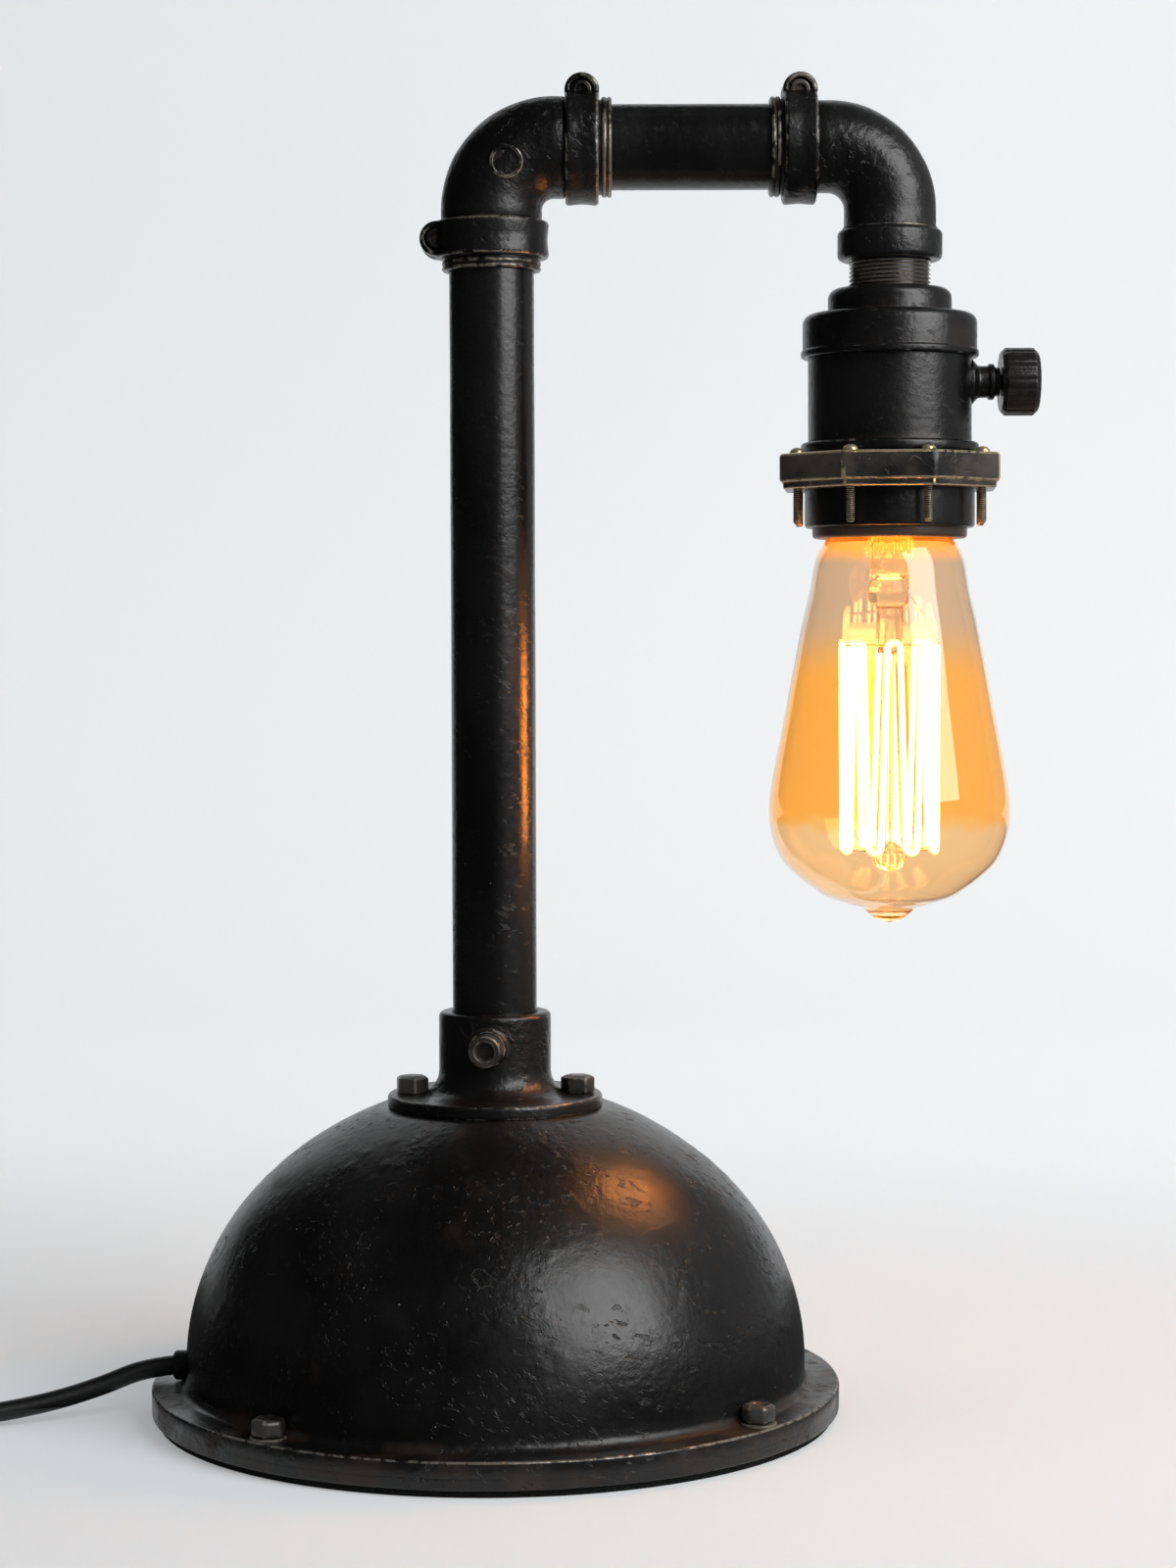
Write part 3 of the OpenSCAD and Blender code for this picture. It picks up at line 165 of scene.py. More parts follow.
class LampElbows(bpy.types.PropertyGroup):
    """Sizes of the two elbows and their clamps."""

    bend_r: length("Bend", "Bend radius on the centre line", 16.5)
    post_r: length("Post elbow", "Outer radius of the post elbow's bend", 13.3)
    head_r: length("Head elbow", "Outer radius of the head elbow's bend", 12.1)
    neck: length("Neck", "Straight neck between bend and clamp", 3)
    socket_r: length("Socket", "Outer radius of a socket under its clamp", 12.9)
    groove: length("Groove", "Width of the groove behind a socket's lip", 0.8)
    lip: length("Lip", "Width of a socket's lip", 2.6)
    bead: length("Bead", "Height of the bead at the head elbow's foot", 8.1)
    bead_r: length("Bead radius", "Outer radius of that bead", 13.8)
    clamp_r: length("Clamp", "Outer radius of the clamps", 15.2)
    ear_at: length("Ear", "Distance of an ear's screw from the pipe's axis", 14.2)
    ear_r: length("Ear radius", "Radius of the ears", 4.6)
    ear_bore: length("Ear bore", "Radius of the bore that holds a screw's head", 3.2)
    waist: length("Waist", "How far a clamp is drawn in at its middle", 0.4)
    ear_half: length("Ear length", "Half the length of an ear along its screw", 6)
    slit: length("Slit", "Width of the slit in a clamp", 1.6)
    screw_r: length("Clamp screw", "Head radius of the clamp screws", 2.6)
    mark_r: length("Raised ring", "Radius of the raised ring cast on the post elbow", 4.4)


class LampHolder(bpy.types.PropertyGroup):
    """Sizes of the lamp holder and its switch."""

    thread_pitch: length("Thread", "Pitch of the nipple's thread", 1.1)
    neck_r: length("Neck", "Radius of the cap's neck", 16.3)
    neck_z: length("Neck foot", "Height where the neck meets the cap", 291.4)
    cap_r: length("Cap", "Radius of the cap", 22.95)
    shell_r: length("Shell", "Radius of the shell", 21.55)
    shell_wall: length("Shell wall", "Wall of the shell", 1.05)
    bead_z: length("Bead", "Height of the top of the shell's bead", 257.6)
    bead_out: length("Bead width", "How far the bead stands out", 1.9)
    ring_foot: length("Ring foot", "Height of the foot of the eight-sided ring", 246.8)
    ring_flat: length("Ring", "Half the width across the flats of the eight-sided ring", 28.7)
    ring_az: angle("Ring turn", "Turn of the ring, from one side facing the front towards the post", 5.4)
    ring_screw_r: length("Ring screws", "Radius of the circle of the ring's screws", 26.1)
    screw_head_r: length("Screw heads", "Head radius of the ring's screws", 2)
    screw_r: length("Screw shanks", "Shank radius of the ring's screws", 1.1)
    thread_r: length("Holder thread", "Radius of the threaded neck under the ring", 20.4)
    switch_z: length("Switch", "Height of the switch's axis", 273.6)
    stem_r: length("Switch stem", "Radius of the switch's stem", 4.3)
    flutes: count("Flutes", "Number of flutes round the knob", 24, 6, 60)


class LampBulb(bpy.types.PropertyGroup):
    """Sizes of the bulb."""

    neck_r: length("Neck", "Radius of the glass at the mouth of the holder", 16.6)
    rim_z: length("Rim", "Height of the rim of the bulb's cap", 242)
    wall: length("Wall", "Thickness of the glass", 0.8)
    cage_r: length("Cage", "Radius of the filament's cage", 12.6)
    cage_z: length("Cage top", "Height of the cage's upper hooks", 204.09)
    cage_h: length("Cage height", "Height of the filament's cage", 53.5)
    strand_r: length("Strand", "Radius of a glowing strand", 0.8)
    wire_r: length("Wire", "Radius of the hooks and leads", 0.3)
    hooks: count("Hooks", "Number of lower hooks", 8, 3, 16)


class LampCord(bpy.types.PropertyGroup):
    """Sizes of the cord, its coil and its plug."""

    diameter: length("Diameter", "Diameter of the cord", 5.2)
    exit_az: angle("Exit turn", "Turn of the way out, in front of the left side", 3)
    exit_z: length("Exit height", "Height of the way out", 13.4)
    nose: length("Bushing", "How far the bushing stands out of the dome", 3.6)
    coil_in_r: length("Coil", "Radius of the coil's inmost turn", 22)
    coil_step: length("Step", "Step from turn to turn in the coil", 5.9)
    coil_turns: count("Turns", "Whole turns in the coil", 7, 1, 12)
    coil_low: length("Lower layer", "Height of the coil's lower layer", 3.5)
    coil_high: length("Upper layer", "Height of the coil's upper layer", 9.3)
    tie_t: length("Tie", "Thickness of the tie", 0.6)
    plug_nose: length("Plug nose", "Length of the plug's ribbed nose", 16)


class LampFinishes(bpy.types.PropertyGroup):
    """Colours of the finishes."""

    iron: colour("Iron", "Blackened iron", (0.0024, 0.0023, 0.0023))
    iron_light: colour("Iron, rubbed", "Paler patches of the blackened iron", (0.0066, 0.0064, 0.0064))
    bolt: colour("Bolt", "Rubbed faces of bolts and screws", (0.065, 0.060, 0.052))
    ring: colour("Ring", "Grey brown skin of the eight-sided ring", (0.075, 0.062, 0.048))
    bronze: colour("Knob", "Brown black of the knob", (0.0080, 0.0068, 0.0060))
    rust: colour("Rust", "Brown that gathers in corners", (0.040, 0.019, 0.009))
    bare: colour("Bare edge", "Metal that shows on worn edges", (0.24, 0.215, 0.18))
    brass: colour("Brass edge", "Metal that shows on the ring's worn edges", (0.52, 0.42, 0.25))
    amber: colour("Amber", "Glass at the height of the filament", (0.99, 0.69, 0.29))
    peach: colour("Peach", "Glass under the filament", (0.98, 0.80, 0.55))
    beige: colour("Beige", "Glass over the filament", (0.90, 0.72, 0.55))
    glow: colour("Glow", "Light of the filament", (1.0, 0.46, 0.19))


class LampStage(bpy.types.PropertyGroup):
    """Camera and light of the studio."""

    camera_at: FloatVectorProperty(name="Camera", description="Place of the camera", size=3, unit="LENGTH",
                                   default=(0.025, -0.8554, 0.2046))
    lens: amount("Lens", "Focal length in millimetres", 74.03, unit="CAMERA")
    pitch: angle("Pitch", "How far the camera looks down", 2.473)
    roll: angle("Roll", "Turn of the camera about its own axis", -0.179)
    paper: colour("Paper", "Pale paper under and behind the lamp", (0.79, 0.84, 0.87))
    even: amount("Evenness", "Share of the paper that shows without shade", 0.36, min=0, max=1,
                 subtype="FACTOR")
    key: amount("Key light", "Power of the soft box at the right, in watts", 21, unit="POWER")
    room: amount("Room light", "Strength of the light from all round", 0.31)
    pale: amount("Paleness", "Strength of the background beyond the paper", 0.8)


# Shader maths

class Value:
    """Output of a shader node. Sums, differences and products of values add their Math nodes."""

    def __init__(self, paint, socket):
        self.paint = paint
        self.socket = socket

    def __add__(self, other):
        return self.paint.math("ADD", self, other)

    def __sub__(self, other):
        return self.paint.math("SUBTRACT", self, other)

    def __rsub__(self, other):
        return self.paint.math("SUBTRACT", other, self)

    def __mul__(self, other):
        return self.paint.math("MULTIPLY", self, other)

    __radd__ = __add__
    __rmul__ = __mul__


class Paint:
    """Nodes of a material or of the world, under construction."""

    def __init__(self, block, place="Object"):
        block.use_nodes = True
        self.block = block
        self.tree = block.node_tree
        self.tree.nodes.clear()
        self.at = self.node("ShaderNodeTexCoord", output=place)

    def node(self, kind, inputs=None, output=0, **settings):
        """Adds a node with its settings first, then the values or links of its sockets."""
        made = self.tree.nodes.new(kind)
        for key, value in settings.items():
            setattr(made, key, value)
        for key, value in (inputs or {}).items():
            if isinstance(value, Value):
                self.tree.links.new(value.socket, made.inputs[key])
            else:
                made.inputs[key].default_value = value
        return None if output is None else Value(self, made.outputs[output])

    def math(self, operation, first, second):
        return self.node("ShaderNodeMath", {0: first, 1: second}, operation=operation)

    def place(self, size, stretch=(1, 1, 1), turn=(0, 0, 0)):
        """Object coordinates counted in patches of that size, drawn out by stretch along turned axes."""
        inputs = {"Vector": self.at, "Rotation": turn, "Scale": [size * s for s in stretch]}
        return self.node("ShaderNodeMapping", inputs, vector_type="TEXTURE")

    def noise(self, size, detail=3.0, stretch=(1, 1, 1), turn=(0, 0, 0)):
        """Cloudy pattern with patches of about that size in millimetres, from 0 to 1."""
        place = self.place(size * MM, stretch, turn)
        return self.node("ShaderNodeTexNoise", {"Vector": place, "Scale": 1.0, "Detail": detail})

    def cells(self, size):
        """Distance from scattered points that lie about that many millimetres apart."""
        return self.node("ShaderNodeTexVoronoi", {"Vector": self.place(size * MM), "Scale": 1.0})

    def band(self, value, low, high):
        """Smooth step from 0 at low to 1 at high."""
        inputs = {0: value, 1: low, 2: high, 3: 0.0, 4: 1.0}
        return self.node("ShaderNodeMapRange", inputs, interpolation_type="SMOOTHSTEP")

    def mark(self, name):
        """Value that a piece's mesh holds at each vertex."""
        return self.node("ShaderNodeAttribute", output="Fac", attribute_name=name)

    def axis(self, name):
        """Place along one axis, in metres."""
        return self.node("ShaderNodeSeparateXYZ", {0: self.at}, output=name)

    def over(self, low, high):
        """Smooth step between two heights in millimetres."""
        return self.band(self.axis("Z"), low * MM, high * MM)

    def mix(self, factor, first, second):
        """Colour between two colours."""
        inputs = {0: factor, 6: opaque(first), 7: opaque(second)}
        return self.node("ShaderNodeMix", inputs, output=2, data_type="RGBA")

    def bump(self, height, depth):
        """Normal of a relief that is so many millimetres deep."""
        return self.node("ShaderNodeBump", {"Strength": 1.0, "Distance": depth * MM, "Height": height})

    def light(self, kind):
        """1 for one kind of ray, and 0 for the others."""
        return self.node("ShaderNodeLightPath", output=kind)

    def seen(self):
        """1 for what the camera sees, straight, in a mirror or through glass, and 0 for light on its way."""
        rays = self.light("Is Camera Ray") + self.light("Is Glossy Ray") + self.light("Is Transmission Ray")
        return self.node("ShaderNodeClamp", {0: rays})

    def end(self, shader, kind="ShaderNodeOutputMaterial"):
        """Links the last shader to the output."""
        self.node(kind, {"Surface": shader}, output=None)
        return self.block

    def surface(self, **inputs):
        """Ends the material in one shader, whose sockets are named with underscores."""
        sockets = {key.replace("_", " "): value for key, value in inputs.items()}
        return self.end(self.node("ShaderNodeBsdfPrincipled", sockets))


def opaque(shade):
    """Colour with its fourth number, or the value as it is."""
    return shade if isinstance(shade, Value) else (*shade[:3], 1.0)


# Finishes

# Near-black that darkens the pits: painted shade in their hollows.
PIT_PAINTED_SHADE = (0.003, 0.003, 0.003)
SCRATCH_SHADE = (0.075, 0.070, 0.063)
SPECK_SHADE = (0.26, 0.25, 0.23)
GLASS_IOR = 1.45


def fresh(slot):
    """Empty material of a slot, with the lamp's colours."""
    return Paint(bpy.data.materials.new("lamp_" + slot)), bpy.context.scene.lamp_finishes


def aged(slot, skin="iron", light="iron_light", bare="bare", rough=0.31, pits=1.0, scars=1.0, rust=0.4,
         edges=0.9, worn=0.92, drawn=(1, 1, 1)):
    """Blackened metal: mottled skin, pits darkened with painted shade, scratches, brown corners and bare
    metal in patches on edges.
    """
    paint, colours = fresh(slot)
    clouds = paint.noise(26, 5.0, drawn)
    grain = paint.noise(2.2, 4.0)
    grit = paint.noise(0.6, 2.0)
    field = paint.band(paint.noise(17, turn=(1, 0, 2)), 0.44, 0.60)
    pit = paint.band(paint.noise(2.2, 2.5, (1.9, 1, 0.7), (0.4, 0.3, 0.7)), 0.60, 0.65) * field
    line = paint.noise(7, 0.0, (7, 0.5, 0.5), (0.6, 0.9, 0.4)) - 0.5
    scratch = (1 - paint.band(line * line, 0.00003, 0.0004)) * paint.band(paint.noise(11, 2.0), 0.64, 0.72)
    speck = 1 - paint.band(paint.cells(8), 0.020, 0.034)
    scuff = paint.band(paint.noise(1.5, 3.0, (1, 2, 0.8), (0.2, 0.5, 0.1)), 0.60, 0.72)
    scuff = scuff * paint.band(paint.noise(24, turn=(3, 1, 2)), 0.54, 0.70)
    rub = paint.band(paint.mark("wear") * (grain + clouds), worn, worn + 0.2) * edges
    damp = paint.mark("hollow") * 0.22 + (1 - paint.over(8, 14)) * 0.18
    brown = paint.band(paint.noise(15, 5.0, turn=(2, 1, 0)) + damp, 0.62, 0.86) * rust
    shade = paint.mix(paint.band(clouds, 0.36, 0.70), getattr(colours, skin), getattr(colours, light))
    shade = paint.mix(brown, shade, colours.rust)
    # Painted shade: the pits are darkened towards near-black, on top of their bump.
    shade = paint.mix(pit * (0.7 * pits), shade, PIT_PAINTED_SHADE)
    shade = paint.mix((scuff * 0.30 + scratch * 0.45) * scars, shade, SCRATCH_SHADE)
    shade = paint.mix(speck * (0.7 * scars), shade, SPECK_SHADE)
    shade = paint.mix(rub, shade, getattr(colours, bare))
    roughness = (clouds - 0.5) * 0.18 + grain * 0.12 + pit * 0.20 + brown * 0.45
    roughness = roughness - rub * 0.04 + (rough - 0.06)
    rough_skin = grain * ((field * 0.25 + paint.over(80, 90) * 0.30) * pits + 0.15) + grit * 0.05
    relief = clouds * 0.5 + rough_skin - pit * (0.30 * pits) - scratch * (0.05 * scars)
    return paint.surface(Base_Color=shade, Metallic=rub * 0.7, Roughness=roughness, Specular_IOR_Level=0.42,
                         Normal=paint.bump(relief, 0.5))


def felt(slot):
    """Pressed wool: short fibres in all directions."""
    paint, _ = fresh(slot)
    fibre = paint.noise(0.8, 5.0, (1, 1, 0.4))
    shade = paint.mix(paint.band(fibre, 0.3, 0.75), (0.004, 0.004, 0.004), (0.014, 0.0135, 0.013))
    return paint.surface(Base_Color=shade, Roughness=0.95, Specular_IOR_Level=0.1,
                         Normal=paint.bump(fibre, 0.3))


def moulded(slot, dark, light, rough=0.5, grain=0.6, depth=0.05):
    """Moulded plastic or rubber with a fine grain and faint clouds."""
    paint, _ = fresh(slot)
    clouds = paint.noise(16, 4.0)
    shade = paint.mix(paint.band(clouds, 0.3, 0.75), dark, light)
    return paint.surface(Base_Color=shade, Roughness=rough + clouds * 0.16 - 0.08, Specular_IOR_Level=0.35,
                         Normal=paint.bump(paint.noise(grain) + clouds * 2, depth))


def plain_metal(slot, dark, light, rough):
    """Bare metal with fine drawn lines."""
    paint, _ = fresh(slot)
    lines = paint.noise(0.5, 3.0, (0.3, 0.3, 6))
    clouds = paint.noise(7, 4.0)
    shade = paint.mix(paint.band(clouds, 0.3, 0.7), dark, light)
    return paint.surface(Base_Color=shade, Metallic=1.0, Roughness=rough + clouds * 0.2 - 0.1,
                         Normal=paint.bump(lines, 0.02))


def amber_glass(slot):
    """Blown glass: beige above the filament, amber at its height and in the collar, and peach below, with a
    painted glow of the filament's light: orange in the collar and at the tip, weaker at and below the
    filament, faint above it.
    """
    paint, colours = fresh(slot)
    ripple = paint.noise(9, 2.0, (1, 1, 2.5))
    z = paint.axis("Z") + (ripple - 0.5) * (5 * MM)

    def above(low, high):
        return paint.band(z, low * MM, high * MM)

    neck, high, low, tip = above(225.6, 231.6), above(194, 212), 1 - above(155.5, 158.5), 1 - above(131, 135)
    shade = paint.mix(low, paint.mix(high, colours.amber, colours.beige), colours.peach)
    # Painted glow: the glass's emission stands in for the filament's light that the glass scatters.
    glow = paint.mix(low, paint.mix(high, (0.055, 0.014, 0.001), (0.004, 0.001, 0.0)), (0.034, 0.007, 0.0))
    glow = paint.mix(tip, paint.mix(neck, glow, (0.20, 0.052, 0.004)), (0.20, 0.085, 0.012))
    return paint.surface(Base_Color=paint.mix(neck, shade, colours.amber), Roughness=0.015, IOR=GLASS_IOR,
                         Transmission_Weight=1.0, Emission_Color=glow, Emission_Strength=1.0,
                         Normal=paint.bump(ripple, 0.03))


def clear_glass(slot):
    """Clear glass of the stem, with a painted glow that stands for the filament's light within it, stronger
    towards the top.
    """
    paint, _ = fresh(slot)
    # Painted glow: emission in place of the filament's light inside the stem, stronger near the collar.
    glow = paint.mix(paint.over(214, 236), (0.050, 0.022, 0.004), (0.12, 0.040, 0.004))
    return paint.surface(Base_Color=(1.0, 0.94, 0.82, 1.0), Roughness=0.03, IOR=GLASS_IOR,
                         Transmission_Weight=1.0, Emission_Color=glow, Emission_Strength=1.0,
                         Normal=paint.bump(paint.noise(5, 2.0), 0.2))


def filament(slot):
    """Glowing wire, cooler where it hangs on its hooks."""
    paint, colours = fresh(slot)
    away = paint.axis("Z") - CAGE.mid.z
    cool = paint.band(away * away, (CAGE.half.z * 0.9) ** 2, CAGE.half.z ** 2)
    glow = paint.mix(cool, colours.glow, (0.55, 0.16, 0.03))
    return paint.surface(Base_Color=(0.9, 0.6, 0.3, 1.0), Roughness=0.4, Emission_Color=glow,
                         Emission_Strength=40.0)


FINISHES = {
    "cast_iron": (aged, {}),
    "steel_plate": (aged, {}),
    "pipe": (aged, dict(rough=0.24, pits=0.15, scars=0.4, rust=0.3, drawn=(0.8, 0.8, 2.2))),
    "holder": (aged, dict(pits=0.15, scars=0.5, rust=0.2, edges=0.5, worn=1.05)),
    "worn_ring": (aged, dict(skin="iron_light", light="ring", bare="brass", pits=0.6, scars=1.4, edges=1.0,
                             worn=0.64)),
    "knob": (aged, dict(skin="bronze", light="bronze", rough=0.28, pits=0.05, scars=0.2, rust=0.0,
                        edges=0.15)),
    "fasteners": (aged, dict(light="bolt", pits=0.3, rust=0.8, edges=0.55, worn=0.90)),
    "felt": (felt, {}),
    "cord": (moulded, dict(dark=(0.0045, 0.0045, 0.0047), light=(0.009, 0.009, 0.0092), rough=0.40,
                           grain=1.1, depth=0.06)),
    "tie": (moulded, dict(dark=(0.010, 0.010, 0.010), light=(0.020, 0.020, 0.020), rough=0.55)),
    "plug": (moulded, dict(dark=(0.008, 0.008, 0.0085), light=(0.014, 0.014, 0.015), rough=0.48)),
    "core": (moulded, dict(dark=(0.034, 0.019, 0.012), light=(0.062, 0.036, 0.024), rough=0.36)),
    "sleeve": (moulded, dict(dark=(0.30, 0.22, 0.13), light=(0.46, 0.36, 0.23), rough=0.85, grain=1.2,
                             depth=0.08)),
    "brass": (plain_metal, dict(dark=(0.48, 0.34, 0.14), light=(0.66, 0.50, 0.24), rough=0.32)),
    "solder": (plain_metal, dict(dark=(0.40, 0.40, 0.41), light=(0.60, 0.60, 0.61), rough=0.4)),
    "support_wire": (plain_metal, dict(dark=(0.40, 0.30, 0.16), light=(0.60, 0.48, 0.30), rough=0.3)),
    "amber_glass": (amber_glass, {}),
    "clear_glass": (clear_glass, {}),
    "filament": (filament, {}),
}


def finish(slot):
    """Material of a record's slot, made on its first use."""
    made = bpy.data.materials.get("lamp_" + slot)
    if made is None:
        maker, given = FINISHES[slot]
        made = maker(slot, **given)
    return made


# Outlines and meshes

DENT_SIZE = 3.4 * MM
DENT_FIELD = 28 * MM
# Levels of the noise above which a field has dents and a spot is one
FIELD_FROM, DENT_FROM = -0.1, 0.2
MERGE = 1e-6
# Curvature per millimetre from which an edge is worn or a corner hollow, and how fast either grows
WEAR_FROM, WEAR_GAIN = 0.12, 2.4
HOLLOW_FROM, HOLLOW_GAIN = 0.04, 3
# Height and width of the waves in a skin and depth of its dents, in millimetres
CASTS = {"dome": (0.12, 17, 0.5), "flange": (0.09, 9), "pipe": (0.05, 22), "elbow": (0.10, 9),
         "clamp": (0.08, 7), "holder": (0.04, 12)}


def arc(centre, radius, start, end, steps=8):
    """Points of an arc, with its angles in degrees."""
    turns = [math.radians(start + (end - start) * i / steps) for i in range(steps + 1)]
    return [(centre[0] + radius * math.cos(a), centre[1] + radius * math.sin(a)) for a in turns]


def rounded(corners, steps=5):
    """Outline through corners (radius, height) or (radius, height, fillet), with an arc for a fillet."""
    points = []
    for i, corner in enumerate(corners):
        here = Vector(corner[:2])
        if len(corner) == 2:
            points.append(tuple(here))
            continue
        back = Vector(corners[i - 1][:2]) - here
        ahead = Vector(corners[(i + 1) % len(corners)][:2]) - here
        half = back.angle(ahead) / 2
        reach = min(corner[2] / math.tan(half), back.length * 0.49, ahead.length * 0.49)
        fillet = reach * math.tan(half)
        centre = here + (back.normalized() + ahead.normalized()).normalized() * (fillet / math.sin(half))
        first = here + back.normalized() * reach - centre
        last = here + ahead.normalized() * reach - centre
        start = math.degrees(math.atan2(first.y, first.x))
        turn = (math.degrees(math.atan2(last.y, last.x)) - start + 180) % 360 - 180
        points += arc(centre, fillet, start, start + turn, steps)
    return points


def through(points, steps=4):
    """Smooth curve through points, of two or three numbers each."""
    smooth = []
    for i in range(len(points) - 1):
        a, b, c, d = (Vector(points[k]) for k in (max(i - 1, 0), i, i + 1, min(i + 2, len(points) - 1)))
        for k in range(steps):
            t = k / steps
            smooth.append((2 * b + (c - a) * t + (2 * a - 5 * b + 4 * c - d) * t ** 2
                           + (3 * b - a - 3 * c + d) * t ** 3) / 2)
    return smooth + [Vector(points[-1])]


def spoke(turn):
    """Level direction at a turn from the right."""
    return Vector((math.cos(turn), math.sin(turn), 0))


def at(place, axis=UP):
    """Matrix that puts a piece's own Z axis along axis, at place."""
    return Matrix.Translation(place) @ Vector(axis).to_track_quat("Z", "Y").to_matrix().to_4x4()


def only(geom, kind):
    """Vertices or edges among what an operator made."""
    return [g for g in geom if isinstance(g, kind)]


def edges_of(verts):
    """Edges that meet at vertices."""
    return list({e for v in verts for e in v.link_edges})


def since(bm, before):
    """Vertices that came into the mesh since before."""
    return [v for v in bm.verts if v not in before]


def added(bm, before, place):
    """Moves what came into the mesh since before to its place, and returns its vertices."""
    made = since(bm, before)
    bmesh.ops.transform(bm, matrix=place, verts=made)
    return made


def strung(bm, points, closed=True):
    """Vertices and edges of a line through points."""
    verts = [bm.verts.new(point) for point in points]
    return verts, [bm.edges.new(pair) for pair in zip(verts, verts[1:] + verts[:1] if closed else verts[1:])]


def lathe(bm, outline, place=Matrix(), steps=96, closed=True):
    """Spins an outline of (radius, height) points about its own Z axis."""
    before = set(bm.verts)
    verts, edges = strung(bm, [(r, 0, z) for r, z in outline], closed)
    bmesh.ops.spin(bm, geom=verts + edges, cent=(0, 0, 0), axis=UP, angle=math.tau, steps=steps,
                   use_merge=True)
    bmesh.ops.remove_doubles(bm, verts=since(bm, before), dist=MERGE)
    return added(bm, before, place)


def ring_matrix(centre, direction, radius):
    """Matrix of a circle of that radius across a direction in the plane of the lamp."""
    z = Vector(direction).normalized()
    x = (-FRONT).cross(z).normalized()
    turn = Matrix((x, z.cross(x), z)).transposed().to_4x4()
    return Matrix.Translation(centre) @ turn @ Matrix.Diagonal((radius, radius, radius, 1))


def ring_tube(bm, rings, segments=56):
    """Closed tube through rings (centre, direction, radius): a circle, extruded from ring to ring."""
    here = ring_matrix(*rings[0])
    first = edges = edges_of(bmesh.ops.create_circle(bm, segments=segments, radius=1, matrix=here)["verts"])
    for ring in rings[1:]:
        verts = only(bmesh.ops.extrude_edge_only(bm, edges=edges)["geom"], BMVert)
        there = ring_matrix(*ring)
        bmesh.ops.transform(bm, matrix=there @ here.inverted(), verts=verts)
        edges = [e for e in edges_of(verts) if all(v in verts for v in e.verts)]
        here = there
    bmesh.ops.bridge_loops(bm, edges=first + edges)


def bevelled(bm, verts, offset, segments):
    """Rounds all edges at vertices."""
    bmesh.ops.bevel(bm, geom=edges_of(verts), offset=offset, segments=segments, profile=0.5, affect="EDGES",
                    material=-1)


def block(bm, size, bevel, place, segments=3):
    """Box with rounded edges."""
    before = set(bm.verts)
    made = bmesh.ops.create_cube(bm, size=1)["verts"]
    bmesh.ops.scale(bm, vec=size, verts=made)
    bevelled(bm, made, bevel, segments)
    return added(bm, before, place)


def prism(bm, sides, half, height, bevel, turn=0.0):
    """Prism on its own Z = 0 with rounded edges and that half width across. Returns its faces."""
    before = set(bm.verts)
    radius = half / math.cos(math.pi / sides)
    base = bmesh.ops.create_circle(bm, cap_ends=True, segments=sides, radius=radius,
                                   matrix=Matrix.Rotation(turn, 4, "Z"))["verts"]
    grown = bmesh.ops.extrude_face_region(bm, geom=[base[0].link_faces[0]])["geom"]
    bmesh.ops.translate(bm, vec=(0, 0, height), verts=only(grown, BMVert))
    bevelled(bm, since(bm, before), bevel, 4)
    return [f for f in bm.faces if f.verts[0] not in before]


def hex_head(bm, flats, height, place, soft=0.07, crown=0.08):
    """Hexagon head on its own Z = 0, with soft corners and a top that is crowned, or dished below 0."""
    before = set(bm.verts)
    faces = prism(bm, 6, flats / 2, height * (1 - max(crown, 0)), flats * soft)
    cap = max(faces, key=lambda f: f.calc_center_median().z)
    bmesh.ops.inset_region(bm, faces=[cap], thickness=flats * 0.09, depth=height * crown)
    bmesh.ops.inset_region(bm, faces=[cap], thickness=flats * 0.10, depth=height * crown * 0.3)
    return added(bm, before, place)


def socket_head(bm, radius, height, shank, place, steps=36):
    """Cap screw that stands on its own Z = 0, with a hexagon socket in its head."""
    before = set(bm.verts)
    hole = radius * 0.56
    sink = height - radius * 0.14
    lathe(bm, rounded([(0, -shank), (radius * 0.5, -shank, 0.1 * MM), (radius * 0.5, 0),
                       (radius, 0, 0.15 * MM), (radius, height, radius * 0.16),
                       (hole * 1.14, height, radius * 0.05), (hole, sink), (0, sink)]),
          Matrix(), steps, closed=False)
    floor = [f for f in bm.faces
             if f.verts[0] not in before and all(abs(v.co.z - sink) < MERGE for v in f.verts)]
    bmesh.ops.delete(bm, geom=floor, context="FACES")
    rim = [e for e in bm.edges if e.is_boundary and e.verts[0] not in before]
    mouth = Matrix.Translation((0, 0, height - radius * 0.2))
    six = edges_of(bmesh.ops.create_circle(bm, segments=6, radius=hole * 0.98, matrix=mouth)["verts"])
    bmesh.ops.bridge_loops(bm, edges=rim + six)
    low = only(bmesh.ops.extrude_edge_only(bm, edges=six)["geom"], BMVert)
    bmesh.ops.translate(bm, vec=(0, 0, -height * 0.4), verts=low)
    bmesh.ops.contextual_create(bm, geom=low)
    return added(bm, before, place)


def roughen(bm, wave, width, dent=0.0):
    """Moves a skin in and out in soft waves, and presses scattered dents into it, all in millimetres."""
    bm.normal_update()
    moves = []
    for v in bm.verts:
        field = max(noise.noise(v.co / DENT_FIELD) - FIELD_FROM, 0)
        press = max(noise.noise(v.co / DENT_SIZE) - DENT_FROM, 0) * field * (dent * MM)
        moves.append((v, v.normal * (noise.noise(v.co / (width * MM)) * (wave * MM) - press)))
    for v, move in moves:
        v.co += move


